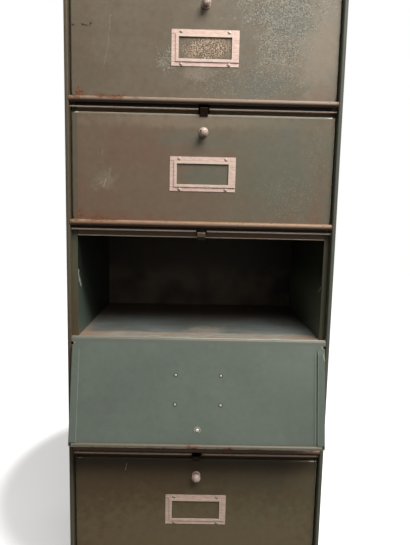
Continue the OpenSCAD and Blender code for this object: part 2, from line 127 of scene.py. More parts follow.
class Graph:
    """Builds a node tree in few words; noise and groups read its place unless they are given one."""

    def __init__(self, tree: bpy.types.NodeTree) -> None:
        """Keeps the tree that nodes are added to."""
        self.tree = tree
        self.place: Value = None

    def add(self, kind: str, inputs: dict[Any, Value] | None = None, **settings: Any) -> bpy.types.Node:
        """Adds a node.

        Args:
            kind: The node's type name.
            inputs: Values or sockets for its inputs, by name or number.
            **settings: Properties of the node.

        Returns:
            The new node.
        """
        node = self.tree.nodes.new(kind)
        for name, value in settings.items():
            setattr(node, name, value)
        for key, value in (inputs or {}).items():
            self.put(node.inputs[key], value)
        return node

    def put(self, socket: bpy.types.NodeSocket, value: Value) -> None:
        """Links a socket to another one, or sets its value.

        Args:
            socket: The input.
            value: An output, or a plain value.
        """
        if isinstance(value, bpy.types.NodeSocket):
            self.tree.links.new(value, socket)
        elif socket.type == "RGBA" and len(value) == 3:
            socket.default_value = (*value, 1.0)
        else:
            socket.default_value = value

    def math(self, operation: str, *values: Value, clamp: bool = False) -> Value:
        """Adds a Math node and returns its output."""
        node = self.add("ShaderNodeMath", dict(enumerate(values)), operation=operation, use_clamp=clamp)
        return node.outputs[0]

    def times(self, *factors: Value) -> Value:
        """Multiplies numbers or masks."""
        return reduce(lambda total, factor: self.math("MULTIPLY", total, factor), factors)

    def most(self, *masks: Value) -> Value:
        """Joins masks by their highest value; 0 where there are none."""
        return reduce(lambda total, mask: self.math("MAXIMUM", total, mask), masks) if masks else 0.0

    def plus(self, first: Value, second: Value) -> Value:
        """Adds two numbers."""
        return self.math("ADD", first, second)

    def minus(self, first: Value, second: Value) -> Value:
        """Takes the second number from the first."""
        return self.math("SUBTRACT", first, second)

    def size(self, value: Value) -> Value:
        """Takes the sign from a number."""
        return self.math("ABSOLUTE", value)

    def vector(self, operation: str, *values: Value) -> Value:
        """Adds a Vector Math node and returns its vector, or its value where it gives one."""
        node = self.add("ShaderNodeVectorMath", dict(enumerate(values)), operation=operation)
        return node.outputs["Value" if operation in ("LENGTH", "DOT_PRODUCT", "DISTANCE") else "Vector"]

    def join(self, **axes: Value) -> Value:
        """Makes a vector from its X, Y and Z."""
        return self.add("ShaderNodeCombineXYZ", axes).outputs[0]

    def axes(self, vector: Value) -> Any:
        """Splits a vector into its X, Y and Z."""
        return self.add("ShaderNodeSeparateXYZ", {0: vector}).outputs

    def normal(self, axis: str) -> Value:
        """Gives one axis of the surface's normal."""
        return self.axes(self.add("ShaderNodeNewGeometry").outputs["Normal"])[axis]

    def step(self, value: Value, low: Value, high: Value) -> Value:
        """Gives 0 below low and 1 above high, or the other way round, with a smooth step between."""
        inputs = {"Value": value, "From Min": low, "From Max": high}
        return self.add("ShaderNodeMapRange", inputs, interpolation_type="SMOOTHSTEP").outputs["Result"]

    def near(self, value: Value, middle: float, outer: float, inner: float) -> Value:
        """Gives 1 within inner of a middle value, and 0 beyond outer."""
        return self.step(self.size(self.minus(value, middle)), outer, inner)

    def blend(self, factor: Value, below: Value, above: Value, mode: str = "MIX") -> Value:
        """Mixes two colours and returns the result."""
        inputs = {0: factor, 6: below, 7: above}
        return self.add("ShaderNodeMix", inputs, data_type="RGBA", blend_type=mode).outputs[2]

    def lerp(self, factor: Value, below: Value, above: Value) -> Value:
        """Mixes two numbers and returns the result."""
        return self.add("ShaderNodeMix", {0: factor, 2: below, 3: above}, data_type="FLOAT").outputs[0]

    def noise(self, size: Value, detail: float = 2.0, roughness: float = 0.5, distortion: float = 0.0,
              place: Value = None) -> Value:
        """Adds noise.

        Args:
            size: How far its blotches are across, in the units of the place.
            detail: How many finer layers it has.
            roughness: How much the finer layers weigh.
            distortion: How much it is bent.
            place: The place that it reads, where it isn't the graph's own.

        Returns:
            A value round 0.5.
        """
        scale = self.math("DIVIDE", 1.0, size) if isinstance(size, bpy.types.NodeSocket) else 1.0 / size
        return self.add("ShaderNodeTexNoise", {
            "Vector": place or self.place, "Scale": scale, "Detail": detail, "Roughness": roughness,
            "Distortion": distortion}).outputs["Fac"]

    def group(self, name: str, **inputs: Value) -> Any:
        """Places a shared group.

        Args:
            name: The group's name.
            **inputs: Its values, where they aren't the group's own.

        Returns:
            Its outputs.
        """
        node = self.add("ShaderNodeGroup", node_tree=ShaderGroup.get(name))
        for key, value in {"place": self.place, **inputs}.items():
            self.put(node.inputs[key.title()], value)
        return node.outputs


def socket_of(tree: bpy.types.NodeTree, name: str, side: str, kind: str, default: Any = None) -> None:
    """Adds one socket to a group's interface.

    Args:
        tree: The group.
        name: The socket's name.
        side: INPUT or OUTPUT.
        kind: Float, Vector, Color, Geometry, Int, Rotation or Material.
        default: The value it starts with.
    """
    socket = tree.interface.new_socket(name=name, in_out=side, socket_type="NodeSocket" + kind)
    if default is not None:
        socket.default_value = default


class ShaderGroup:
    """Shader node groups that several materials use: each method makes one group's nodes."""

    INPUTS: dict[str, dict[str, Any]] = {
        "patches": {"Size": 50.0, "Low": 0.4, "High": 0.6},
        "blot": {"Middle": (0.0, 0.0, 0.0), "Reach": (50.0, 50.0, 50.0), "Ragged": 0.5, "Grain": 12.0},
        "crazing": {"Grain": 1.85, "Cover": 0.5},
        "scratch": {"Start": (0.0, 0.0, 0.0), "End": (0.0, 0.0, 10.0), "Width": 0.5},
        "rust": {"Amount": 0.0},
        "edge_wear": {"Reach": 0.0008, "Amount": 0.6},
        "dust": {"Amount": 0.5},
        "grain": {"Tone": 0.1},
    }

    @classmethod
    @cache
    def get(cls, name: str) -> bpy.types.NodeTree:
        """Builds the named group the first time: its inputs, its nodes, then its outputs.

        Args:
            name: The name of the group and of its method.

        Returns:
            The group.
        """
        tree = bpy.data.node_groups.new(name, "ShaderNodeTree")
        for key, default in {"Place": (0.0, 0.0, 0.0), **cls.INPUTS[name]}.items():
            socket_of(tree, key, "INPUT", "Float" if isinstance(default, float) else "Vector", default)
        graph = Graph(tree)
        given = graph.add("NodeGroupInput").outputs
        graph.place = given["Place"]
        results = getattr(cls, name)(graph, given)
        for key in results:
            socket_of(tree, key, "OUTPUT", "Color" if key == "Colour" else "Float")
        graph.add("NodeGroupOutput", results)
        return tree

    @staticmethod
    def patches(graph: Graph, given: Any) -> dict[str, Value]:
        """Soft patches of a given size."""
        return {"Mask": graph.step(graph.noise(given["Size"], 4.0, 0.55, 0.3), given["Low"], given["High"])}

    @staticmethod
    def blot(graph: Graph, given: Any) -> dict[str, Value]:
        """A ragged patch round one place.

        Args:
            graph: The group's graph.
            given: Its middle, its reach along each axis, and how ragged it is at what grain.

        Returns:
            Mask, 1 in its middle and 0 outside.
        """
        away = graph.vector("DIVIDE", graph.vector("SUBTRACT", graph.place, given["Middle"]), given["Reach"])
        wobble = graph.minus(graph.noise(given["Grain"], 3.0, 0.6), 0.5)
        ragged = graph.math("MULTIPLY_ADD", wobble, graph.times(given["Ragged"], 3.0),
                            graph.vector("LENGTH", away))
        return {"Mask": graph.step(ragged, 1.15, 0.35)}

    @staticmethod
    def crazing(graph: Graph, given: Any) -> dict[str, Value]:
        """Fine corroded specks that run together into a maze.

        Args:
            graph: The group's graph.
            given: The size of a speck, and how much of the surface they cover.

        Returns:
            Mask of the specks, and the Pits between them.
        """
        soft = 0.035
        maze = graph.noise(given["Grain"], 2.0, 0.5, 0.6)
        drift = graph.noise(graph.times(given["Grain"], 9.0), 1.0)
        value = graph.math("MULTIPLY_ADD", graph.minus(drift, 0.5), 0.14, maze)
        edge = graph.math("MULTIPLY_ADD", given["Cover"], -0.19, 0.7)
        low = graph.math("MULTIPLY_ADD", given["Cover"], 0.16, 0.32)
        return {"Mask": graph.step(value, graph.minus(edge, soft), graph.plus(edge, soft)),
                "Pits": graph.step(value, graph.plus(low, soft), graph.minus(low, soft))}

    @staticmethod
    def scratch(graph: Graph, given: Any) -> dict[str, Value]:
        """One thin broken line from one place to another.

        Args:
            graph: The group's graph.
            given: The line's two ends and its width.

        Returns:
            Mask of the line.
        """
        wander = graph.add("ShaderNodeTexNoise", {"Vector": graph.place, "Scale": 0.06}).outputs["Color"]
        shift = graph.vector("MULTIPLY", graph.vector("SUBTRACT", wander, (0.5, 0.5, 0.5)), (5.0, 5.0, 5.0))
        along = graph.vector("SUBTRACT", given["End"], given["Start"])
        from_start = graph.vector("SUBTRACT", graph.vector("ADD", graph.place, shift), given["Start"])
        part = graph.math("DIVIDE", graph.vector("DOT_PRODUCT", from_start, along),
                          graph.vector("DOT_PRODUCT", along, along), clamp=True)
        distance = graph.vector("DISTANCE", from_start, graph.vector("MULTIPLY", along, part))
        line = graph.step(distance, given["Width"], graph.times(given["Width"], 0.3))
        return {"Mask": graph.times(line, graph.step(graph.noise(4.0), 0.36, 0.5))}

    @staticmethod
    def rust(graph: Graph, given: Any) -> dict[str, Value]:
        """Rust that eats in where its amount is high.

        Args:
            graph: The group's graph.
            given: The amount.

        Returns:
            Mask of the rust, the Stain round it, its Colour and its Height.
        """
        amount = given["Amount"]
        eaten = graph.step(graph.plus(graph.noise(5.0, 5.0, 0.62), graph.times(amount, 0.55)), 0.72, 0.86)
        tone = graph.step(graph.noise(2.6, 3.0, 0.6), 0.36, 0.64)
        cloud = graph.step(graph.noise(14.0, 4.0, 0.6), 0.25, 0.6)
        return {"Mask": graph.times(eaten, graph.step(amount, 0.02, 0.12)),
                "Stain": graph.times(graph.step(amount, 0.05, 0.7), cloud, 0.75),
                "Colour": graph.blend(tone, linear(78, 53, 38), linear(134, 93, 62)),
                "Height": graph.times(eaten, tone)}

    @staticmethod
    def edge_wear(graph: Graph, given: Any) -> dict[str, Value]:
        """Rubbed edges, found where a rounded normal departs from the surface's own.

        Args:
            graph: The group's graph.
            given: The reach in metres, and the amount.

        Returns:
            Mask of the rubbed edges.
        """
        rounded = graph.add("ShaderNodeBevel", {"Radius": given["Reach"]}, samples=4).outputs["Normal"]
        own = graph.add("ShaderNodeNewGeometry").outputs["Normal"]
        bend = graph.minus(1.0, graph.vector("DOT_PRODUCT", rounded, own))
        chipped = graph.times(graph.step(bend, 0.015, 0.12), graph.noise(7.0, 4.0, 0.65), 1.7)
        return {"Mask": graph.math("MULTIPLY", chipped, given["Amount"], clamp=True)}

    @staticmethod
    def dust(graph: Graph, given: Any) -> dict[str, Value]:
        """Dust on what faces up.

        Args:
            graph: The group's graph.
            given: The amount.

        Returns:
            Mask of the dust.
        """
        cloud = graph.step(graph.noise(35.0, 5.0, 0.6), 0.3, 0.75)
        level = graph.times(graph.step(graph.normal("Z"), 0.55, 0.95), cloud)
        return {"Mask": graph.math("MULTIPLY", level, given["Amount"], clamp=True)}

    @staticmethod
    def grain(graph: Graph, given: Any) -> dict[str, Value]:
        """Fine unevenness of a sprayed or worn surface.

        Args:
            graph: The group's graph.
            given: How much the tone changes.

        Returns:
            A Tone round 1, and a Height.
        """
        fine = graph.noise(1.3, 3.0, 0.6)
        both = graph.minus(graph.plus(fine, graph.noise(9.0, 4.0, 0.6)), 1.0)
        return {"Tone": graph.math("MULTIPLY_ADD", both, given["Tone"], 1.0), "Height": fine}


# ---- Finishes ----


class Where(Enum):
    """Where a material reads its place from."""

    OBJECT = "object space"
    FLAP = "the flap's own space about its hinge axis"


class Surface(Graph):
    """A material under way: where each point lies, in millimetres, and the colour laid on so far."""

    def __init__(self, name: str, where: Where = Where.OBJECT) -> None:
        """Starts the material.

        Args:
            name: The material's name.
            where: Where it reads its place from.
        """
        self.material = bpy.data.materials.new(name)
        self.material.use_nodes = True
        self.material.node_tree.nodes.clear()
        super().__init__(self.material.node_tree)
        self.shader = self.add("ShaderNodeBsdfPrincipled")
        self.add("ShaderNodeOutputMaterial", {"Surface": self.shader.outputs["BSDF"]})
        if where is Where.FLAP:
            self.place = self.add("ShaderNodeAttribute", attribute_name=FLAP_PLACE).outputs["Vector"]
        else:
            here = self.add("ShaderNodeTexCoord").outputs["Object"]
            self.place = self.add("ShaderNodeMapping", {"Vector": here, "Scale": (1 / MM,) * 3}).outputs[0]
        self.x, self.y, self.z = self.axes(self.place)
        self.colour: Value = None

    def paint(self, tone: Value, *masks: Value) -> None:
        """Lays a colour over what is there, as far as the product of the masks lets it."""
        self.colour = self.blend(self.times(*masks), self.colour, tone)

    def across(self, span: Span) -> Value:
        """Gives a mask that begins and ends by the place across."""
        return self.step(self.x, *span)

    def deep(self, span: Span) -> Value:
        """Gives a mask that begins and ends by the place from front to back."""
        return self.step(self.y, *span)

    def up(self, span: Span) -> Value:
        """Gives a mask that begins and ends by the height."""
        return self.step(self.z, *span)

    def rise(self) -> Value:
        """Gives the height above the hinge axis below."""
        return self.math("FLOORED_MODULO", self.minus(self.z, LOW_AXIS), PITCH)

    def ring(self, across: float, up: float, middle: float) -> Value:
        """Gives the distance from the nearest of four places set out round a middle height."""
        return self.vector("LENGTH", self.join(
            X=self.minus(self.size(self.x), across), Z=self.minus(self.size(self.minus(self.z, middle)), up)))

    def finish(self, depth: float, height: Value, **inputs: Value) -> bpy.types.Material:
        """Joins what was made to the shader.

        Args:
            depth: How deep the height reaches, in metres.
            height: The height that bends the normal.
            **inputs: The shader's inputs, with underscores for spaces.

        Returns:
            The material.
        """
        normal = self.add("ShaderNodeBump", {"Height": height, "Distance": depth, "Strength": 1.0})
        for name, value in {"Base_Color": self.colour, "Normal": normal.outputs[0], **inputs}.items():
            self.put(self.shader.inputs[name.replace("_", " ")], value)
        return self.material


@dataclass(frozen=True)
class Blot:
    """A patch on a flap: its middle and reach in millimetres, across and up from the hinge."""

    across: float
    up: float
    reach_across: float
    reach_up: float
    strength: float = 1.0
    ragged: float = 0.5

    def mask(self, graph: Graph) -> Value:
        """Adds the patch's mask, which goes through the whole sheet."""
        patch = graph.group("blot", middle=(self.across, 0.0, self.up), ragged=self.ragged,
                            reach=(self.reach_across, 1000.0, self.reach_up))
        return graph.times(patch["Mask"], self.strength)


@dataclass(frozen=True)
class Scratch:
    """A thin line on a flap, in millimetres across and up from the hinge."""

    start: Spot
    end: Spot
    width: float = 0.6
    strength: float = 0.6

    def mask(self, graph: Graph, flat: Value) -> Value:
        """Adds the scratch's mask on a place without depth."""
        line = graph.group("scratch", place=flat, width=self.width, start=(self.start[0], 0.0, self.start[1]),
                           end=(self.end[0], 0.0, self.end[1]))
        return graph.times(line["Mask"], self.strength)


@dataclass(frozen=True)
class Enamel:
    """Stove enamel on the case: its colour where kept, where browned and where rubbed."""

    name: str
    kept: Colour
    browned: Colour
    rubbed: Colour = linear(150, 128, 108)
    brown_size: float = 120.0
    brown_low: float = 0.42
    brown_high: float = 0.62
    roughness: float = 0.5
    tone: float = 0.25
    edge: float = 0.6
    rust: float = 0.1
    dusty: float = 0.3
    dust: Colour = linear(140, 128, 110)
    relief: float = 0.00006

    def material(self) -> bpy.types.Material:
        """Builds the material: colour, what this sheet has of its own, grain, dust, wear and rust.

        Returns:
            The material.
        """
        surface = Surface(self.name)
        brown = surface.group("patches", size=self.brown_size, low=self.brown_low, high=self.brown_high)
        grain = surface.group("grain", tone=self.tone)
        wear = surface.group("edge_wear", amount=self.edge)
        rust = surface.group("rust", amount=surface.plus(surface.times(wear["Mask"], 0.5), self.rust))
        dust = surface.group("dust", amount=self.dusty)
        surface.colour = surface.blend(brown["Mask"], self.kept, self.browned)
        self.mark(surface)
        surface.colour = surface.blend(1.0, surface.colour, grain["Tone"], "MULTIPLY")
        surface.paint(self.dust, dust["Mask"])
        surface.paint(self.rubbed, wear["Mask"])
        surface.paint(rust["Colour"], rust["Mask"])
        rough = surface.math("MULTIPLY_ADD", grain["Tone"], 0.3, self.roughness - 0.3)
        return surface.finish(self.relief, surface.plus(grain["Height"], rust["Height"]),
                              Roughness=surface.lerp(rust["Mask"], rough, 0.85), Specular_IOR_Level=0.4)

    def mark(self, surface: Surface) -> None:
        """Adds what only one kind of sheet has."""


@dataclass(frozen=True)
class ShelfEnamel(Enamel):
    """Enamel of the shelves: a rubbed strip along the front edge, slid through behind it."""

    front: float = -116.9
    wobble: float = 16.0
    strip_depth: Span = (41.0, 29.0)
    corner_across: Span = (110.0, 186.0)
    slide_depth: Span = (150.0, 40.0)
    smear_middle: Spot = (8.0, 52.0)
    smear_reach: Spot = (36.0, 34.0)
    side_across: Span = (-168.0, -184.0)
    side_depth: Span = (130.0, 60.0)
    fold_shade_depth: Span = (6.5, 6.0)
    rear_depth: Span = (110.0, 210.0)
    strip_tones: tuple[Colour, Colour] = (linear(148, 132, 116), linear(174, 173, 163))
    corner: Colour = linear(150, 108, 84)
    slide: Colour = linear(150, 158, 158)
    smear: Colour = linear(170, 156, 142)
    side: Colour = linear(150, 128, 106)
    # colours of painted shade: the front fold behind the curl, and the faces that look down
    fold: Colour = linear(26, 20, 15)
    underside: Colour = linear(36, 30, 24)
    rear: Colour = linear(100, 70, 54)

    def mark(self, surface: Surface) -> None:
        """Adds the front strip, the slide marks, a smear, painted shade on the front fold and on the faces
        that look down, and the brown rear.

        Args:
            surface: The material under way.
        """
        behind = surface.minus(surface.y, self.front)
        wavy = surface.math("MULTIPLY_ADD", surface.noise(30.0, 4.0, 0.6), self.wobble, -self.wobble / 2)
        depth = surface.plus(behind, wavy)
        stretched = surface.vector("MULTIPLY", surface.place, (0.25, 1.0, 1.0))
        streak = surface.step(surface.noise(6.0, 4.0, 0.6, place=stretched), 0.35, 0.7)
        corner = surface.times(surface.step(surface.size(surface.x), *self.corner_across), streak)
        front = surface.blend(corner, surface.blend(streak, *self.strip_tones), self.corner)
        surface.paint(front, surface.step(depth, *self.strip_depth), 0.85)
        slid = surface.step(surface.noise(14.0, 5.0, 0.65, place=stretched), 0.5, 0.72)
        surface.paint(self.slide, slid, surface.step(depth, *self.slide_depth), 0.5)
        smear = surface.group("blot", middle=(self.smear_middle[0], self.front + self.smear_middle[1], 0.0),
                              reach=(*self.smear_reach, 4000.0), ragged=0.9)
        surface.paint(self.smear, smear["Mask"], 0.45)
        side = surface.step(depth, *self.side_depth)
        surface.paint(self.side, surface.across(self.side_across), side, 0.55)
        up = surface.normal("Z")
        # painted shade on the front fold, hidden behind the flap's curl, and on the faces that look down
        surface.paint(self.fold, surface.step(behind, *self.fold_shade_depth), surface.step(up, 0.6, 0.3))
        surface.paint(self.underside, surface.step(up, -0.3, -0.7), 0.8)
        surface.paint(self.rear, surface.step(depth, *self.rear_depth), 0.7)


@dataclass(frozen=True)
class CaseEnamel(Enamel):
    """Enamel of the case's outer sheets, greener on the right-hand post."""

    cold: Colour = linear(88, 96, 88)
    right: Span = (120.0, 190.0)
    front: Span = (-60.0, -110.0)

    def mark(self, surface: Surface) -> None:
        """Adds the greener front of the right-hand side."""
        surface.paint(self.cold, surface.across(self.right), surface.deep(self.front), 0.7)


@dataclass(frozen=True)
class StopEnamel(Enamel):
    """Enamel of the stop angles: rusty where a shelf's corner meets them."""

    foot: Colour = linear(120, 80, 56)
    foot_rise: Span = (15.0, 3.0)
    fade: Span = (600.0, -200.0)

    def mark(self, surface: Surface) -> None:
        """Adds the brown foot of each opening, fainter to the right.

        Args:
            surface: The material under way.
        """
        cloud = surface.step(surface.noise(14.0, 4.0, 0.6), 0.2, 0.6)
        foot = surface.step(surface.rise(), *self.foot_rise)
        surface.paint(self.foot, foot, cloud, surface.across(self.fade), 0.8)


@dataclass(frozen=True)
class LinerEnamel(Enamel):
    """Enamel of the side liners: painted shade towards the rear and high up, a painted glint on the rim of a
    dent on the left liner, and a small light mark on the right.
    """

    # chip: colour of the light marks; on the left liner they are a painted glint
    chip: Colour = linear(196, 196, 186)
    left_tone: Colour = linear(80, 94, 84)
    pale: Colour = linear(112, 118, 98)
    # deep: colour of the painted shade
    deep: Colour = linear(30, 31, 27)
    slant: Span = (-36.0, 12.0)
    left_shade_rise: Span = (88.0, 104.0)
    right_shade_rise: Span = (50.0, 118.0)
    left_dent_glints: tuple[tuple[Spot, Spot, float], ...] = (
        ((-106.0, 542.0), (-102.5, 529.0), 4.6), ((-102.5, 529.0), (-92.0, 519.0), 4.6))
    right_light_marks: tuple[tuple[Spot, Spot, float], ...] = (((-108.0, 524.0), (-90.0, 514.0), 2.4),)

    def mark(self, surface: Surface) -> None:
        """Adds a tone for each liner, painted shade to the rear and high up, a painted glint on the rim of a
        dent on the left liner and a small light mark on the right.

        Args:
            surface: The material under way.
        """
        wall = surface.join(Y=surface.y, Z=surface.z)
        left, right = surface.step(surface.x, 1.0, -1.0), surface.step(surface.x, -1.0, 1.0)
        rise = surface.rise()
        # painted shade: the left liner darkens behind a line slanting with depth and height, and high up; the
        # right liner darkens high up
        slant = surface.step(surface.plus(surface.y, rise), *self.slant)
        # each liner gets its own lighter tone
        surface.paint(self.left_tone, left)
        surface.paint(self.pale, right, 0.75)
        left_shade = surface.times(left, surface.most(slant, surface.step(rise, *self.left_shade_rise)))
        right_shade = surface.times(right, surface.step(rise, *self.right_shade_rise))
        surface.paint(self.deep, surface.most(left_shade, right_shade), 0.85)
        # light strokes: a painted glint on the rim of a dent on the left liner, a small light mark on the
        # right
        for side, dents in ((left, self.left_dent_glints), (right, self.right_light_marks)):
            for start, end, width in dents:
                dent = surface.group("scratch", place=wall, start=(0.0, *start), end=(0.0, *end), width=width)
                surface.paint(self.chip, dent["Mask"], side)


@dataclass(frozen=True)
class BackEnamel(Enamel):
    """Enamel of the back sheet: as the case outside; its inner face is painted dim and brown as painted
    shade, lighter low down in each compartment as painted light.
    """

    # dim is the inner face's painted shade; foot is its painted light low down
    dim: Colour = linear(60, 50, 42)
    foot: Colour = linear(98, 86, 70)
    foot_rise: Span = (95.0, 55.0)

    def mark(self, surface: Surface) -> None:
        """Adds the painted shade of the inner face, with painted light low down in each compartment.

        Args:
            surface: The material under way.
        """
        cloud = surface.step(surface.noise(60.0, 3.0, 0.5), 0.3, 0.6)
        low = surface.times(surface.step(surface.rise(), *self.foot_rise), cloud)
        # painted shade on the inner face, which faces the compartments, with painted light low down
        surface.paint(surface.blend(low, self.dim, self.foot), surface.step(surface.normal("Y"), -0.3, -0.7))


@dataclass(frozen=True)
class RailEnamel(Enamel):
    """Enamel of the front rails: pale along the lip and the hem, rubbed paint with a painted highlight where
    the light catches them, brown on the stop face.
    """

    stop_drop: Span = (10.1, 11.7)
    lip_drop: Span = (11.1, 9.8)
    hem_drop: Span = (18.3, 19.1)
    lip: Colour = linear(232, 214, 196)
    stop: Colour = linear(104, 88, 72)

    def mark(self, surface: Surface) -> None:
        """Adds the pale lip and hem, rubbed paint with a painted highlight, and the stop face, by the height
        below the hinge axis above.

        Args:
            surface: The material under way.
        """
        below = surface.minus(PITCH, surface.rise())
        worn = surface.step(surface.noise(18.0, 4.0, 0.6), 0.1, 0.4)
        surface.paint(self.stop, surface.step(below, *self.stop_drop))
        # pale lip and hem: rubbed paint with a painted highlight
        surface.paint(self.lip, surface.step(below, *self.lip_drop), worn)
        surface.paint(self.lip, surface.step(below, *self.hem_drop), worn, 0.7)


@dataclass(frozen=True)
class FlapSpans:
    """Where the masks of a flap begin and end: up from its axis, or across, out or past what is said."""

    out_behind: Span = (SIZE.face + 0.4, SIZE.face + 0.6)
    above_curl: Span = (SIZE.curl, SIZE.curl + 0.5)
    curl: Span = (SIZE.curl + 0.9, SIZE.curl + 0.2)
    curl_top: Span = (2.2, 3.6)
    curl_shade: Span = (0.6, -2.6)
    curl_under: Span = (-3.3, -3.9)
    out_curl_front: Span = (0.3, -0.7)
    across_curl_highlight: Span = (-70.0, 0.0)
    across_cool: Span = (-20.0, 150.0)
    above_foot: Span = (10.0, 20.0)
    past_fold: Span = (0.0, 0.4)
    past_lip: Span = (0.4, 1.2)
    out_under_lip: Span = (SIZE.face + 6.4, SIZE.face + 5.6)
    light_under_lip: Span = (14.0, 15.0)
    rivet_shade_ring: Span = (4.2, 2.8)
    roll: Span = (SIZE.length - 1.4, SIZE.length - 0.5)
    worn_roll: Span = (SIZE.length - 2.6, SIZE.length - 1.8)
    hinge_rust: Span = (13.0, 4.0)
    roll_rust: Span = (SIZE.length - 6.0, SIZE.length - 3.0)
    across_end_rust: Span = (SIZE.half_width - 5.0, SIZE.half_width)
    foot_rust: Span = (16.0, 3.0)
    top_rust: Span = (SIZE.length - 8.0, SIZE.length)


SPAN = FlapSpans()


@dataclass(frozen=True)
class FlapFinish:
    """One flap's paint, worn in its own way, in the flap's own space about its hinge axis."""

    name: str
    green: Colour = linear(112, 106, 90)
    brown: Colour = linear(112, 92, 76)
    cool: Colour = linear(106, 110, 100)
    inner: Colour = linear(104, 114, 105)
    # partly painted highlight: the pale line under the open flap's curl
    pale_rub_and_highlight: Colour | None = None
    rolled: Colour = linear(168, 160, 142)
    # partly painted highlight: the rubbed tone on the curl's upper front
    rub_and_highlight: Colour = linear(150, 124, 106)
    speck: Colour = linear(152, 143, 125)
    pale: Colour = linear(146, 137, 117)
    cold: Colour = linear(98, 108, 98)
    red: Colour = linear(116, 86, 67)
    card: Colour = linear(196, 168, 132)
    glue: Colour = linear(84, 68, 56)
    pit: Colour = linear(78, 80, 70)
    stain: Colour = linear(116, 80, 62)
    curl: Colour = linear(124, 104, 88)
    # colour of the painted shade on the curl's lower side
    curl_shade: Colour = linear(40, 32, 25)
    curl_front: Colour = linear(116, 96, 80)
    # colour of the painted shade along the top
    top_shade: Colour = linear(30, 24, 16)
    bared: Colour = linear(196, 182, 156)
    scored: Colour = linear(44, 36, 28)
    # colours of the painted shade round the rivets and of the painted light under the lips
    rivet_shade: Colour = linear(56, 62, 57)
    light_under_lip: Colour = linear(232, 240, 226)
    brown_edge: float = 40.0
    brown_reach: float = 110.0
    brown_amount: float = 0.8
    # how much painted shade darkens the curl's lower side
    darkening: float = 0.85
    rub_amount: float = 0.9
    clean_strip: float = 0.0
    strip_fade: float = 1.5
    hinge_rust: float = 0.35
    roll_rust: float = 0.1
    end_rust: float = 0.42
    roll_from: float = 158.6
    roll_fade: float = 0.6
    speck_strength: float = 0.7
    # reach of the painted shade along the top, 0 for none
    top_shade_reach: float = 0.0
    top_shade_end: float = 5.0
    relief: float = 0.00007
    # painted light and shade by the right lip: where each begins and ends across from the edge, and a factor
    # on the inner tone
    lip_light_and_shade_bands: tuple[tuple[float, float, float], ...] = ((14.5, 12.5, 2.3), (10.9, 10.4, 0.78))
    browns: tuple[Blot, ...] = ()
    pales: tuple[Blot, ...] = ()
    cools: tuple[Blot, ...] = ()
    reds: tuple[Blot, ...] = ()
    cards: tuple[Blot, ...] = ()
    specks: tuple[Blot, ...] = ()
    rusts: tuple[Blot, ...] = ()
    scratches: tuple[Scratch, ...] = ()
    marks: tuple[Scratch, ...] = ()

    def material(self) -> bpy.types.Material:
        """Builds the material: paint, specks, card, lines, rolled edge, curl and rust in turn.

        Returns:
            The material.
        """
        surface = Surface(self.name, Where.FLAP)
        grain = surface.group("grain", tone=0.28)
        behind = surface.times(surface.deep(SPAN.out_behind), surface.up(SPAN.above_curl))
        out = surface.minus(1.0, behind)
        surface.colour = surface.blend(behind, self.outside(surface), self.inside(surface))
        surface.colour = surface.blend(1.0, surface.colour, grain["Tone"], "MULTIPLY")
        specks = self.speckle(surface, out)
        self.card_and_lines(surface, out, behind if self.pale_rub_and_highlight else out)
        self.roll(surface)
        curl = surface.up(SPAN.curl)
        rubbed = self.rub_curl(surface, curl)
        rust = surface.group("rust", amount=self.rust_amount(surface, curl, out))
        surface.paint(self.stain, rust["Stain"])
        surface.paint(rust["Colour"], rust["Mask"])
        rough = surface.math("MULTIPLY_ADD", grain["Tone"], 0.3, 0.18)
        rough = surface.lerp(surface.most(specks, rust["Mask"]), rough, 0.8)
        height = surface.plus(surface.math("MULTIPLY_ADD", specks, -0.8, grain["Height"]), rust["Height"])
        return surface.finish(self.relief, height, Roughness=surface.lerp(rubbed, rough, 0.4),
                              Metallic=surface.times(rubbed, 0.35))

    def outside(self, surface: Surface) -> Value:
        """Mixes the weathered paint of the outer face, browner towards the left; where the brown is darker
        than the green, that is partly painted shade for the light falling off to the left.

        Args:
            surface: The material under way.

        Returns:
            The colour.
        """
        large = surface.group("patches", size=75.0, low=0.38, high=0.66)["Mask"]
        small = surface.group("patches", size=22.0, low=0.42, high=0.62)["Mask"]
        # browner to the left; its darkness is partly painted shade for the light falling off to the left
        left = surface.step(surface.x, self.brown_edge + self.brown_reach, self.brown_edge - self.brown_reach)
        both = surface.plus(surface.times(left, 0.65), surface.times(large, 0.4))
        brown = surface.math("MULTIPLY", both, self.brown_amount, clamp=True)
        surface.colour = surface.blend(brown, self.green, self.brown)
        surface.paint(self.cool, surface.across(SPAN.across_cool), small, 0.7)
        mottle = surface.noise(7.0, 5.0, 0.65)
        surface.paint(self.brown, surface.step(mottle, 0.45, 0.72), 0.5)
        surface.paint(self.cool, surface.step(mottle, 0.5, 0.3), 0.3)
        for blots, tone in ((self.browns, self.brown), (self.pales, self.pale), (self.cools, self.cold),
                            (self.reds, self.red)):
            for blot in blots:
                surface.paint(tone, blot.mask(surface))
        if self.clean_strip:
            edge = self.clean_strip - SIZE.half_width
            strip = surface.step(surface.x, edge + self.strip_fade, edge)
            surface.paint(scaled(self.green, 0.72), strip, 0.9)
        return surface.colour

    def inside(self, surface: Surface) -> Value:
        """Mixes the cleaner paint of the inner face and its lips, painted light and painted shade by the
        right lip, painted light under the lips and painted shade round the rivets.

        Args:
            surface: The material under way.

        Returns:
            The colour.
        """
        darker = scaled(self.inner, 0.86)
        surface.colour = surface.blend(surface.step(surface.noise(120.0), 0.3, 0.7), darker, self.inner)
        high = surface.up(SPAN.above_foot)
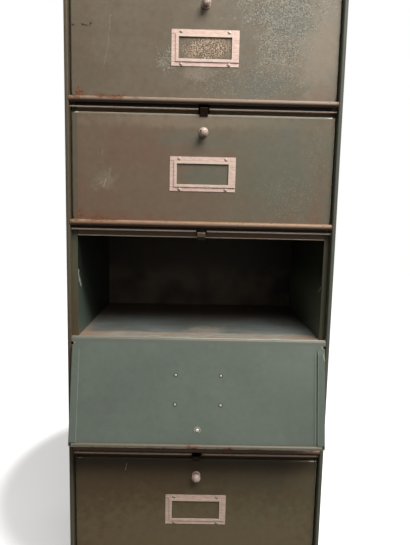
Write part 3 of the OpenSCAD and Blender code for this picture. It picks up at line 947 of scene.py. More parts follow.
        # painted light on the panel by the right lip, where the lip's shadow falls, then painted shade on the
        # right lip itself
        for start, end, factor in self.lip_light_and_shade_bands:
            band = surface.step(surface.x, SIZE.half_width - start, SIZE.half_width - end)
            surface.paint(scaled(self.inner, factor), high, band)
        across = surface.minus(surface.size(surface.x), SIZE.half_width - SIZE.fold)
        surface.paint(darker, surface.step(across, *SPAN.past_lip), 0.5)
        away = surface.ring(SIZE.rivet_across, SIZE.rivet_up, SIZE.label_up)
        # painted shade round each rivet
        surface.paint(self.rivet_shade, surface.step(away, *SPAN.rivet_shade_ring), 0.6)
        # painted light under the lips, where the fold lies in shadow
        surface.paint(self.light_under_lip, surface.step(across, *SPAN.past_fold),
                      surface.deep(SPAN.out_under_lip), surface.up(SPAN.light_under_lip))
        surface.paint(self.rolled, surface.step(surface.z, self.roll_from, self.roll_from + self.roll_fade))
        return surface.colour

    def speckle(self, surface: Surface, out: Value) -> Value:
        """Adds the corroded specks where this flap has them, and the dark pits between them.

        Args:
            surface: The material under way.
            out: Mask of the outer face.

        Returns:
            Mask of the specks.
        """
        cover = surface.most(*(blot.mask(surface) for blot in self.specks))
        maze = surface.group("crazing", cover=cover)
        there = surface.step(cover, 0.0, 0.35)
        specks, pits = (surface.times(maze[name], there, out) for name in ("Mask", "Pits"))
        surface.paint(self.pit, pits, self.speck_strength)
        surface.paint(self.speck, specks, self.speck_strength)
        return specks

    def card_and_lines(self, surface: Surface, out: Value, side: Value) -> None:
        """Adds the left-overs of a card, painted shade along the top where the flap has it, scratches and
        marks.

        Args:
            surface: The material under way.
            out: Mask of the outer face.
            side: Mask of the face that has the scratches.
        """
        for blot in self.cards:
            there = surface.times(blot.mask(surface), out)
            surface.paint(self.glue, there, 0.75)
            surface.paint(self.card, there, surface.group("crazing", cover=0.95, grain=1.7)["Mask"])
        # painted shade along the flap's top
        if self.top_shade_reach:
            top = surface.step(surface.z, SIZE.length - self.top_shade_reach, SIZE.length - self.top_shade_end)
            surface.paint(self.top_shade, top, out, 0.6)
        flat = surface.join(X=surface.x, Z=surface.z)
        for lines, tone in ((self.scratches, self.bared), (self.marks, self.scored)):
            surface.paint(tone, surface.most(*(line.mask(surface, flat) for line in lines)), side)

    def roll(self, surface: Surface) -> None:
        """Rubs the rolled free edge.

        Args:
            surface: The material under way.
        """
        surface.paint(self.rolled, surface.up(SPAN.roll), 0.8)
        if self.pale_rub_and_highlight:
            worn = surface.step(surface.noise(16.0, 5.0, 0.65), 0.3, 0.5)
            surface.paint(self.pale_rub_and_highlight, worn, surface.up(SPAN.worn_roll), 0.6)

    def rub_curl(self, surface: Surface, curl: Value) -> Value:
        """Rubs the curl's upper front with a pale tone that is partly a painted highlight, paints shade on
        its lower side, and where the flap is open adds a pale line of rubbed paint and painted highlight,
        stronger to the right.

        Args:
            surface: The material under way.
            curl: Mask of the curl.

        Returns:
            Mask of the bare metal.
        """
        worn = surface.step(surface.noise(16.0, 5.0, 0.65), 0.24, 0.46)
        bare = surface.times(curl, surface.up(SPAN.curl_top), worn, self.rub_amount)
        surface.paint(self.curl, curl, 0.85)
        # painted shade on the curl's lower side
        surface.paint(self.curl_shade, curl, surface.up(SPAN.curl_shade), self.darkening)
        # rubbed tone on the upper front, partly a painted highlight
        surface.paint(self.rub_and_highlight, bare)
        if self.pale_rub_and_highlight:
            surface.paint(self.curl_front, curl, surface.deep(SPAN.out_curl_front))
            # pale line under the open flap's curl: rubbed paint and painted highlight, stronger to the right
            brighter = surface.math("MULTIPLY_ADD", surface.across(SPAN.across_curl_highlight), 0.6, 0.4)
            surface.paint(self.pale_rub_and_highlight, curl, surface.up(SPAN.curl_under), brighter, worn)
        return bare

    def rust_amount(self, surface: Surface, curl: Value, out: Value) -> Value:
        """Sets the rust along the hinge, at the roll, at the ends and where this flap has patches of it.

        Args:
            surface: The material under way.
            curl: Mask of the curl.
            out: Mask of the outer face.

        Returns:
            The amount of rust.
        """
        low = surface.times(surface.up(SPAN.hinge_rust), self.hinge_rust, out)
        top = surface.times(surface.up(SPAN.roll_rust), self.roll_rust)
        side = surface.step(surface.size(surface.x), *SPAN.across_end_rust)
        tips = surface.plus(surface.up(SPAN.foot_rust), surface.up(SPAN.top_rust))
        return surface.most(low, top, surface.times(side, self.end_rust, tips), surface.times(curl, 0.05),
                            *(blot.mask(surface) for blot in self.rusts))


@dataclass(frozen=True)
class BareMetal:
    """Aluminium or steel without paint: its tone, streaks and pits."""

    name: str
    tone: Colour
    dull: Colour
    roughness: float = 0.42
    metallic: float = 0.9
    streak: Point = (1.0, 1.0, 1.0)
    pits: float = 0.3
    pit_size: float = 1.1
    rust: float = 0.0
    pitted: Colour = linear(70, 52, 44)
    relief: float = 0.00004
    where: Where = Where.OBJECT

    def material(self) -> bpy.types.Material:
        """Builds the material: worn metal, pits, what this piece has of its own, and rust.

        Returns:
            The material.
        """
        surface = Surface(self.name, self.where)
        streaks = surface.noise(1.2, 4.0, 0.6, place=surface.vector("MULTIPLY", surface.place, self.streak))
        cloud = surface.noise(9.0, 3.0, 0.6)
        pit = surface.times(surface.step(surface.noise(self.pit_size), 0.64, 0.72), self.pits)
        worn = surface.step(surface.plus(surface.times(streaks, 0.7), surface.times(cloud, 0.3)), 0.36, 0.62)
        surface.colour = surface.blend(worn, self.dull, self.tone)
        surface.paint(self.pitted, pit)
        self.mark(surface)
        rust = surface.group("rust", amount=self.rust)
        surface.paint(rust["Colour"], rust["Mask"])
        rough = surface.math("MULTIPLY_ADD", streaks, -0.25, self.roughness + 0.12)
        return surface.finish(self.relief, surface.math("MULTIPLY_ADD", pit, -2.0, streaks),
                              Roughness=surface.lerp(rust["Mask"], rough, 0.85),
                              Metallic=surface.lerp(surface.most(rust["Mask"], pit), self.metallic, 0.1))

    def mark(self, surface: Surface) -> None:
        """Adds what only one kind of piece has; the plain case has nothing."""


@dataclass(frozen=True)
class HolderMetal(BareMetal):
    """Pressed aluminium of the card holders: painted highlights on the raised edges, painted shade in the
    crease beside the raised part and below the rivets.
    """

    where: Where = Where.FLAP
    half_across: float = 42.25
    half_up: float = 19.0
    window_across: float = 38.0
    window_up: float = 15.0
    beside: Span = (1.1, 0.4)
    out_flat: Span = (SIZE.face - 1.4, SIZE.face - 1.1)
    left_end: Span = (19.5, 19.0)
    rivet_shade_ring: Span = (3.5, 2.7)
    below_rivet: Span = (0.4, 1.4)
    slant: float = 0.6
    window_top: Span = (14.0, 15.0)
    window_rim: Span = (2.2, 1.2)
    # colours of the painted highlight on the raised edges and of the painted shade
    raised: Colour = linear(232, 214, 196)
    shade_tone: Colour = linear(70, 50, 42)

    def mark(self, surface: Surface) -> None:
        """Adds painted shade in the crease beside the raised part and below the rivets, and painted
        highlights on the raised edges.

        Args:
            surface: The material under way.
        """
        height = surface.minus(surface.z, SIZE.label_up)
        up, across = surface.size(height), surface.size(surface.x)
        flat = surface.deep(self.out_flat)
        left = surface.times(surface.near(surface.x, -self.half_across, *self.beside),
                             surface.step(up, *self.left_end))
        # painted shade in the crease beside the raised part
        line = surface.times(surface.most(surface.near(up, self.half_up, *self.beside), left), flat)
        away = surface.ring(SIZE.rivet_across, SIZE.rivet_up, SIZE.label_up)
        below = surface.minus(surface.times(surface.math("SIGN", height), SIZE.rivet_up), height)
        left_of = surface.minus(surface.times(surface.math("SIGN", surface.x), SIZE.rivet_across), surface.x)
        # painted shade below and to the left of each rivet head
        lower = surface.step(surface.plus(below, surface.times(left_of, self.slant)), *self.below_rivet)
        rivet_shade_crescent = surface.times(surface.step(away, *self.rivet_shade_ring), lower)
        rim = surface.most(surface.minus(up, self.window_up), surface.minus(across, self.window_across))
        # painted highlight along the top and round the window
        bright = surface.most(surface.step(height, *self.window_top), surface.step(rim, *self.window_rim))
        surface.paint(self.raised, surface.minus(1.0, flat), bright, 0.55)
        surface.paint(self.shade_tone, surface.most(surface.times(line, 0.55), surface.times(rivet_shade_crescent, 1.2)), 0.7)


@dataclass(frozen=True)
class KnobMetal(BareMetal):
    """Cast metal of a knob: painted shade at the neck, under the head and below the foot plate, and a chip in
    the crown of the chipped one.
    """

    where: Where = Where.FLAP
    under: Span = (-4.2, -6.3)
    out_head: Span = (-5.0, -7.0)
    out_neck: Span = (-6.0, -4.0)
    out_waist: Span = (1.3, 0.8)
    below: Span = (-2.45, -4.9)
    out_plate: Span = (1.9, 2.3)
    chip: Point = (-4.0, -10.0, 134.5)
    chip_radius: float = 0.0
    # colour of the painted shade, and of the chip
    shade_tone: Colour = linear(44, 34, 28)

    def mark(self, surface: Surface) -> None:
        """Adds painted shade under the head, at the neck and below the foot plate, and the chip.

        Args:
            surface: The material under way.
        """
        height = surface.minus(surface.z, SIZE.knob_up)
        # painted shade under the head, at the neck and on the foot plate's lower rim
        under = surface.times(surface.step(height, *self.under), surface.deep(self.out_head), 0.6)
        neck = surface.times(surface.deep(self.out_neck), surface.deep(self.out_waist), 0.6)
        rim = surface.times(surface.step(height, *self.below), surface.deep(self.out_plate), 0.9)
        darkening = surface.most(under, neck, rim)
        if self.chip_radius:
            away = surface.vector("DISTANCE", surface.place, self.chip)
            darkening = surface.most(darkening, surface.step(away, self.chip_radius + 0.3, self.chip_radius - 0.3))
        surface.paint(self.shade_tone, darkening)


@dataclass(frozen=True)
class SpringMetal(BareMetal):
    """Spring steel of the open compartment's catch: a painted highlight at its bent step, painted shade at
    its foot.
    """

    step_up: Span = (604.9, 605.7)
    foot_up: Span = (599.0, 598.2)
    # colours of the painted highlight and of the painted shade
    bright: Colour = linear(250, 244, 236)
    shade_tone: Colour = linear(30, 24, 19)

    def mark(self, surface: Surface) -> None:
        """Adds the painted highlight at the step and the painted shade at the foot, by height."""
        # painted highlight on the bent step, painted shade on the foot
        surface.paint(self.bright, surface.up(self.step_up))
        surface.paint(self.shade_tone, surface.up(self.foot_up), 0.9)


@dataclass(frozen=True)
class ScrewMetal(BareMetal):
    """Plated screw on its washer: a bright crown, dirt round it and a light rim."""

    where: Where = Where.FLAP
    rings: tuple[tuple[Span, Colour], ...] = (
        ((2.3, 2.9), linear(84, 84, 76)), ((3.2, 3.4), linear(132, 138, 128)),
        ((4.1, 4.4), linear(196, 196, 184)))

    def mark(self, surface: Surface) -> None:
        """Adds the rings, by the distance from the screw's axis.

        Args:
            surface: The material under way.
        """
        away = surface.ring(0.0, 0.0, SIZE.knob_up)
        for span, tone in self.rings:
            surface.paint(tone, surface.step(away, *span))


CASE_LOOK = {"brown_size": 240.0, "brown_low": 0.3, "brown_high": 0.72, "rubbed": linear(108, 80, 62)}
CASE_TONES = (linear(92, 88, 73), linear(88, 77, 63))
CAST_LOOK = {"roughness": 0.6, "metallic": 0.2, "pits": 0.95, "pit_size": 2.0}
CAST_TONES = (linear(214, 196, 184), linear(150, 130, 120))
ROLLED_STREAK = (0.12, 1.0, 1.0)


class Finish(Enum):
    """Every finish of the cabinet apart from the flaps' paint."""

    CASE = CaseEnamel("case_enamel", *CASE_TONES, edge=0.8, rust=0.06, **CASE_LOOK)
    BACK = BackEnamel("back_enamel", *CASE_TONES, edge=0.6, rust=0.06, **CASE_LOOK)
    STOP = StopEnamel("stop_enamel", linear(82, 84, 68), linear(86, 76, 58), edge=0.8, rust=0.04,
                      rubbed=linear(104, 84, 66))
    LINER = LinerEnamel("liner_enamel", linear(62, 78, 70), linear(46, 52, 46), edge=0.2, rust=0.02,
                        brown_size=200.0, roughness=0.42, tone=0.12)
    SHELF = ShelfEnamel("shelf_enamel", linear(108, 118, 118), linear(98, 102, 98), edge=0.4, rust=0.04,
                        dusty=0.2)
    RAIL = RailEnamel("rail_enamel", linear(104, 84, 66), linear(92, 70, 52), edge=0.5, rust=0.03,
                      rubbed=linear(120, 92, 72))
    # painted shade: the rail below the open flap, which lies in its shadow, gets dark tones
    SHADED_RAIL = RailEnamel("shaded_rail_enamel", linear(40, 30, 22), linear(34, 25, 18), edge=0.5, rust=0.03,
                           rubbed=linear(96, 70, 52), lip=linear(66, 54, 44), stop=linear(50, 43, 34))
    HOLDER = HolderMetal("card_holder", linear(240, 214, 203), linear(210, 182, 171), roughness=0.5,
                         metallic=0.2, streak=ROLLED_STREAK)
    ALUMINIUM = BareMetal("aluminium", linear(224, 216, 208), linear(188, 176, 166), roughness=0.5,
                          metallic=0.3, streak=ROLLED_STREAK)
    CAST = KnobMetal("cast_aluminium", *CAST_TONES, **CAST_LOOK)
    CHIPPED_CAST = KnobMetal("chipped_cast_aluminium", *CAST_TONES, chip_radius=1.2, **CAST_LOOK)
    # painted light: knob 5 is made paler to make up for the shade it stands in below the open flap
    BRIGHTENED_CAST = KnobMetal("brightened_cast_aluminium", linear(238, 216, 206), linear(196, 172, 160),
                          **{**CAST_LOOK, "metallic": 0.1, "pits": 0.6})
    STEEL = BareMetal("dull_steel", linear(150, 140, 130), linear(100, 88, 78), rust=0.1)
    SCREW = ScrewMetal("screw_steel", linear(250, 246, 238), linear(226, 222, 212), roughness=0.4,
                       metallic=0.2, pits=0.1)
    # the open compartment's catch, with a painted highlight and painted shade
    WORN_SPRING = SpringMetal("worn_spring", linear(170, 150, 130), linear(126, 106, 88), roughness=0.45,
                              metallic=0.4)
    SPRING = BareMetal("spring_steel", linear(70, 52, 42), linear(44, 32, 26), roughness=0.45, metallic=0.7,
                       rust=0.15)

    @cache
    def material(self) -> bpy.types.Material:
        """Builds the material when it is first asked for, and returns it."""
        return self.value.material()


KNOB_FINISHES = {2: Finish.CHIPPED_CAST, 5: Finish.BRIGHTENED_CAST}
FLAP_FINISHES = {
    1: FlapFinish(
        "flap_1_enamel", green=linear(124, 114, 98), brown=linear(103, 91, 75), cool=linear(107, 111, 100),
        speck=linear(160, 156, 143), pit=linear(82, 85, 77), pale=linear(143, 132, 117),
        card=linear(204, 180, 154), curl=linear(130, 114, 98), rub_and_highlight=linear(180, 162, 144),
        brown_amount=0.7, speck_strength=0.72, hinge_rust=0.22,
        specks=(Blot(108, 135, 74, 52, 0.95, 0.7), Blot(110, 85, 48, 55, 0.75, 0.7),
                Blot(95, 35, 75, 40, 0.4), Blot(30, 30, 70, 30, 0.4), Blot(-50, 58, 30, 24, 0.7)),
        cards=(Blot(4, 74, 42, 19, 1.0, 0.3),),
        browns=(Blot(-176, 85, 26, 90, 0.5),),
        pales=(Blot(168, 80, 42, 90, 0.65, 0.35), Blot(130, 75, 60, 60, 0.4), Blot(-10, 40, 26, 12, 0.65)),
        cools=(Blot(125, 108, 40, 26, 0.5), Blot(80, 24, 60, 22, 0.4)),
        reds=(Blot(-150, 0, 60, 10, 0.5, 0.7), Blot(175, 4, 24, 30, 0.3, 0.7)),
        rusts=(Blot(-179, 8, 12, 12, 0.72), Blot(-130, 4, 36, 6, 0.7)),
        scratches=(Scratch((-135, 116), (-138, 82), 1.9, 0.12), Scratch((-138, 82), (-144, 46), 1.5, 0.11),
                   Scratch((-141, 108), (-142, 86), 1.3, 0.08)),
        marks=(Scratch((-179, 102.2), (-163, 100.4), 1.5, 1.0),
               Scratch((-163.5, 100.6), (-162, 103.6), 2.2, 1.0),
               Scratch((-189, 101.4), (-187, 100.2), 2.0, 1.0))),
    2: FlapFinish(
        "flap_2_enamel", green=linear(112, 105, 88), brown=linear(114, 94, 78), cool=linear(103, 104, 91),
        speck=linear(158, 144, 122), pit=linear(94, 88, 74), cold=linear(102, 104, 91),
        curl=linear(136, 109, 88), rub_and_highlight=linear(182, 154, 124),
        brown_edge=30.0, brown_amount=0.95, clean_strip=7.0, speck_strength=0.32, hinge_rust=0.28,
        specks=(Blot(125, 42, 50, 50, 0.6), Blot(165, 90, 24, 80, 0.5)),
        browns=(Blot(172, 60, 14, 60, 0.45),),
        pales=(Blot(-146, 62, 18, 20, 0.32, 0.9), Blot(-20, 150, 190, 13, 0.4)),
        cools=(Blot(110, 85, 75, 80, 0.7), Blot(6, 72, 46, 24, 0.75, 0.3), Blot(-10, 124, 80, 16, 0.6)),
        reds=(Blot(-150, 4, 90, 16, 0.75, 0.7), Blot(-184, 70, 14, 90, 0.3, 0.7),
              Blot(-110, 120, 50, 36, 0.25), Blot(60, 0, 150, 9, 0.4, 0.7)),
        rusts=(Blot(-180, 12, 12, 14, 0.55), Blot(-150, 5, 36, 7, 0.5), Blot(170, 12, 22, 12, 0.3)),
        scratches=(Scratch((-148, 116), (-146, 72), 0.7, 0.3), Scratch((-142, 64), (-145, 52), 1.0, 0.4),
                   Scratch((-157, 56), (-145, 61), 1.4, 0.25), Scratch((-136, 80), (-138, 66), 1.6, 0.22))),
    3: FlapFinish(
        "flap_3_enamel", inner=linear(108, 119, 111), pale_rub_and_highlight=linear(206, 204, 188), curl=linear(104, 113, 105),
        rolled=linear(106, 102, 88), roll_from=153.0, darkening=0.0, rub_amount=0.0,
        roll_rust=0.18, hinge_rust=0.0, end_rust=0.25,
        rusts=(Blot(-8, 158, 14, 7, 0.5), Blot(48, 158, 10, 5, 0.5)),
        scratches=(Scratch((189.2, 17), (189.6, 22), 0.9, 0.9), Scratch((189.6, 22), (191.4, 27), 0.9, 0.9),
                   Scratch((-190, 8), (-186, 1), 1.6, 0.7), Scratch((190, 9), (186, 2), 1.6, 0.7),
                   Scratch((-180, 3), (-170, 1), 1.2, 0.4))),
    4: FlapFinish("flap_4_enamel", brown_amount=0.9, specks=(Blot(60, 70, 60, 50, 0.3),)),
    # flap 5: darker tones, partly painted shade from the open flap above, with painted shade along its top
    # and paler paint low down
    5: FlapFinish(
        "flap_5_enamel", green=linear(98, 87, 65), brown=linear(95, 79, 57), cool=linear(93, 89, 70),
        pale=linear(120, 110, 84), rolled=linear(96, 84, 62), rub_and_highlight=linear(160, 130, 104),
        brown_edge=10.0, brown_amount=0.95, top_shade_reach=34.0,
        pales=(Blot(0, 20, 300, 90, 0.5),),
        scratches=(Scratch((-110, 152), (-112, 140), 0.8, 0.8),)),
}


# ---- Meshes ----


def linked(name: str, data: Any) -> bpy.types.Object:
    """Makes an object, and links it to the scene.

    Args:
        name: The object's name.
        data: Its mesh, light or camera.

    Returns:
        The object.
    """
    made = bpy.data.objects.new(name, data)
    bpy.context.scene.collection.objects.link(made)
    return made


def finished(work: bpy.types.Object, name: str) -> bpy.types.Object:
    """Turns an object with modifiers into one with a plain mesh.

    Args:
        work: The object, linked to the scene.
        name: The name of the result.

    Returns:
        The new object; the old one is gone.
    """
    bpy.context.view_layer.update()
    evaluated = work.evaluated_get(bpy.context.evaluated_depsgraph_get())
    mesh = bpy.data.meshes.new_from_object(evaluated)
    bpy.data.objects.remove(work)
    mesh.name = name
    return linked(name, mesh)


def smoothed(build: bmesh.types.BMesh, name: str, sharp: float) -> bpy.types.Mesh:
    """Shades faces smooth, and edges smooth up to an angle.

    Args:
        build: The faces, which are freed.
        name: The mesh's name.
        sharp: The angle in radians.

    Returns:
        The mesh.
    """
    for face in build.faces:
        face.smooth = True
    for edge in build.edges:
        edge.smooth = len(edge.link_faces) == 2 and edge.calc_face_angle(0.0) < sharp
    mesh = bpy.data.meshes.new(name)
    build.to_mesh(mesh)
    build.free()
    return mesh


def sheet_copy(node: str, round_edge: float, sharp: float = math.radians(30)) -> bpy.types.Object:
    """Copies a CAD node with whole faces, softened edges and smooth curves.

    Args:
        node: The CAD node.
        round_edge: Width of the softened edges in millimetres.
        sharp: Angle in radians from which an edge is softened.

    Returns:
        The copy, which isn't riding on anything yet.
    """
    build = bmesh.new()
    build.from_mesh(frame["nodes"][node].data)
    bmesh.ops.remove_doubles(build, verts=build.verts, dist=1e-6)
    bmesh.ops.dissolve_limit(build, angle_limit=math.radians(0.5), verts=build.verts, edges=build.edges,
                             use_dissolve_boundaries=False)
    mesh = smoothed(build, node + "_dressed", sharp)
    for stale in ("custom_normal", "UVMap"):
        if stale in mesh.attributes:
            mesh.attributes.remove(mesh.attributes[stale])
    work = linked(node + "_work", mesh)
    soften = work.modifiers.new("soften", "BEVEL")
    soften.width = round_edge * MM
    soften.segments = 2
    soften.limit_method = "ANGLE"
    soften.angle_limit = sharp
    soften.miter_outer = "MITER_ARC"
    work.modifiers.new("weigh", "WEIGHTED_NORMAL").keep_sharp = False
    return finished(work, node + "_dressed")


def turned(name: str, outline: list[Spot], steps: int = 40) -> bpy.types.Object:
    """Turns an outline about the Z axis.

    Args:
        name: The object's name.
        outline: Radius and height along the axis, in millimetres, from the foot to the tip.
        steps: Faces round the axis.

    Returns:
        A closed, smooth object.
    """
    build = bmesh.new()
    verts = [build.verts.new((radius * MM, 0.0, height * MM)) for radius, height in outline]
    edges = [build.edges.new(pair) for pair in zip(verts, verts[1:])]
    bmesh.ops.spin(build, geom=verts + edges, cent=(0, 0, 0), axis=(0, 0, 1), angle=2 * math.pi,
                   steps=steps, use_merge=True)
    bmesh.ops.remove_doubles(build, verts=build.verts, dist=1e-6)
    bmesh.ops.recalc_face_normals(build, faces=build.faces)
    return linked(name, smoothed(build, name, math.radians(35)))


def dress(piece: bpy.types.Object, material: bpy.types.Material, body: str, slot: str, node: str) -> None:
    """Gives a piece its material and its body, and hides the CAD node that it stands for.

    Args:
        piece: The finished piece.
        material: Its material.
        body: The CAD body it rides on.
        slot: The record's material slot; not used.
        node: The CAD node that it replaces.
    """
    piece.data.materials.clear()
    piece.data.materials.append(material)
    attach(piece, body)
    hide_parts(node)
    LOG.info("%s rides on %s", piece.name, body)


class RivetTree:
    """Geometry nodes that set out rivets on a grid and make each from a shank and two heads."""

    SIZES: dict[str, float] = {"Span Across": 0.02, "Span Up": 0.02, "Shank Radius": 0.001,
                               "Head Radius": 0.002, "Head Height": 0.0006, "Shank Length": 0.002}

    @staticmethod
    def head(graph: Graph, radius: Value, height: Value) -> Value:
        """Adds a low dome on z = 0.

        Args:
            graph: The tree's graph.
            radius: The dome's radius.
            height: The dome's height.

        Returns:
            The dome's geometry.
        """
        barrel = graph.add("GeometryNodeMeshCylinder", {
            "Vertices": 20, "Side Segments": 4, "Fill Segments": 1, "Radius": radius, "Depth": height})
        raised = graph.add("GeometryNodeTransform", {
            "Geometry": barrel.outputs["Mesh"], "Translation": graph.join(Z=graph.times(height, 0.5))})
        x, y, z = graph.axes(graph.add("GeometryNodeInputPosition").outputs[0])
        share = graph.math("DIVIDE", z, height)
        pull = graph.math("POWER", graph.minus(1.0, graph.times(share, share, 0.8)), 0.5)
        return graph.add("GeometryNodeSetPosition", {
            "Geometry": raised.outputs[0],
            "Position": graph.join(X=graph.times(x, pull), Y=graph.times(y, pull), Z=z)}).outputs[0]

    @classmethod
    @cache
    def get(cls) -> bpy.types.NodeTree:
        """Builds the tree the first time.

        Returns:
            The tree.
        """
        tree = bpy.data.node_groups.new("rivets", "GeometryNodeTree")
        for name, default in cls.SIZES.items():
            socket_of(tree, name, "INPUT", "Float", default)
        socket_of(tree, "Rows", "INPUT", "Int", 2)
        for name, kind in (("Middle", "Vector"), ("Turn", "Rotation"), ("Material", "Material")):
            socket_of(tree, name, "INPUT", kind)
        socket_of(tree, "Geometry", "OUTPUT", "Geometry")
        graph = Graph(tree)
        given = graph.add("NodeGroupInput").outputs
        grid = graph.add("GeometryNodeMeshGrid", {
            "Size X": given["Span Across"], "Size Y": given["Span Up"], "Vertices X": 2,
            "Vertices Y": given["Rows"]})
        length = given["Shank Length"]
        shank = graph.add("GeometryNodeMeshCylinder", {
            "Vertices": 16, "Side Segments": 1, "Fill Segments": 1, "Radius": given["Shank Radius"],
            "Depth": length})
        head = cls.head(graph, given["Head Radius"], given["Head Height"])
        outer = graph.add("GeometryNodeTransform", {
            "Geometry": head, "Translation": graph.join(Z=graph.times(length, 0.5))})
        inner = graph.add("GeometryNodeTransform", {
            "Geometry": head, "Translation": graph.join(Z=graph.times(length, -0.5)),
            "Rotation": (math.pi, 0.0, 0.0)})
        parts = graph.add("GeometryNodeJoinGeometry")
        for part in (shank, outer, inner):
            graph.put(parts.inputs[0], part.outputs[0])
        placed = graph.add("GeometryNodeInstanceOnPoints", {
            "Points": grid.outputs["Mesh"], "Instance": parts.outputs[0]})
        moved = graph.add("GeometryNodeTransform", {
            "Geometry": placed.outputs[0], "Translation": given["Middle"], "Rotation": given["Turn"]})
        real = graph.add("GeometryNodeRealizeInstances", {"Geometry": moved.outputs[0]})
        smooth = graph.add("GeometryNodeSetShadeSmooth", {"Geometry": real.outputs[0], "Shade Smooth": True})
        done = graph.add("GeometryNodeSetMaterial", {
            "Geometry": smooth.outputs[0], "Material": given["Material"]})
        graph.add("NodeGroupOutput", {"Geometry": done.outputs[0]})
        return tree

    @classmethod
    def make(cls, name: str, **sizes: Any) -> bpy.types.Object:
        """Makes one group of rivets as a plain mesh.

        Args:
            name: The object's name.
            **sizes: The tree's inputs, with underscores for spaces.

        Returns:
            The object.
        """
        work = linked(name + "_work", bpy.data.meshes.new(name + "_seed"))
        modifier = work.modifiers.new("rivets", "NODES")
        modifier.node_group = cls.get()
        sockets = {item.name: item.identifier for item in cls.get().interface.items_tree
                   if getattr(item, "in_out", "") == "INPUT"}
        for key, value in sizes.items():
            modifier[sockets[key.replace("_", " ")]] = value
        return finished(work, name)


# ---- The cabinet ----


@dataclass(frozen=True)
class Sheetwork:
    """A group of folded sheets that are copied from the frame and dressed."""

    edge: float = 0.3

    def sheet(self, node: str, finish: Finish, slot: str, body: str = "cabinet") -> None:
        """Dresses one CAD node's copy, and lets the copy stand for it."""
        dress(sheet_copy(node, self.edge), finish.material(), body, slot, node)


class Case(Sheetwork):
    """Sides, back, top and foot of the cabinet."""

    def build(self) -> None:
        """Dresses the sheets of the case."""
        for node in ("side_skin_left", "side_skin_right", "top_cap", "kick_plate"):
            self.sheet(node, Finish.CASE, "case_paint")
        self.sheet("back_panel", Finish.BACK, "case_paint")
        for node in ("stop_angle_left", "stop_angle_right"):
            self.sheet(node, Finish.STOP, "front_paint")
        for node in ("side_liner_left", "side_liner_right"):
            self.sheet(node, Finish.LINER, "inner_paint")


class Tiers(Sheetwork):
    """Shelves, front rails and hinge rods."""

    def build(self) -> None:
        """Dresses each shelf, rail and rod."""
        for node in ("ceiling_panel", "shelf_1", "shelf_2", "shelf_3", "shelf_4", "bottom_shelf"):
            self.sheet(node, Finish.SHELF, "inner_paint")
        for tier in TIERS:
            # the rail below the open flap gets dark tones as painted shade
            finish = Finish.SHADED_RAIL if tier == OPEN_TIER + 1 else Finish.RAIL
            self.sheet(f"front_rail_{tier}", finish, "front_paint")
            self.sheet(f"hinge_rod_{tier}", Finish.STEEL, "bright_steel")


@dataclass(frozen=True)
class Catches(Sheetwork):
    """Spring catches and the rivets that hold them under the shelves."""

    edge: float = 0.15

    def build(self) -> None:
        """Dresses each spring on its own body, and their rivets."""
        for tier in TIERS:
            body = f"catch_{tier}" if f"catch_{tier}" in frame["bodies"] else "cabinet"
            finish = Finish.WORN_SPRING if tier == OPEN_TIER else Finish.SPRING
            self.sheet(f"catch_spring_{tier}", finish, "spring_steel", body)
        self.sheet("catch_rivets", Finish.STEEL, "bright_steel")


@dataclass(frozen=True)
class KnobShape:
    """Outline of a knob in millimetres: a foot plate, a waist, a rolled rim and a domed crown."""

    plate: tuple[Spot, ...] = ((0.0, 0.0), (6.2, 0.0), (6.5, 0.3), (6.5, 1.4), (6.2, 1.7), (5.2, 2.1))
    waist: float = 3.7
    flare: float = 1.5
    waist_foot: float = 1.2
    waist_height: float = 7.0
    narrowest: float = 0.55
    rim_middle: Spot = (5.2, 10.4)
    rim_radius: float = 1.6
    crown_foot: float = 12.0
    crown_radius: float = 5.35
    crown_height: float = 3.0

    def outline(self) -> list[Spot]:
        """Works out the points from the foot to the tip.

        Returns:
            Radius and height of each point.
        """
        waist = [(self.waist + self.flare * (part / self.narrowest - 1.0) ** 2,
                  self.waist_foot + self.waist_height * part) for part in (0.12 * i for i in range(2, 9))]
        rim = [(self.rim_middle[0] + self.rim_radius * math.cos(turn),
                self.rim_middle[1] + self.rim_radius * math.sin(turn))
               for turn in (math.radians(15 * i - 75) for i in range(11))]
        crown = [(self.crown_radius * math.cos(turn), self.crown_foot + self.crown_height * math.sin(turn))
                 for turn in (math.radians(10 + 16 * i) for i in range(5))]
        return [*self.plate, *waist, *rim, *crown, (0.0, self.crown_foot + self.crown_height)]


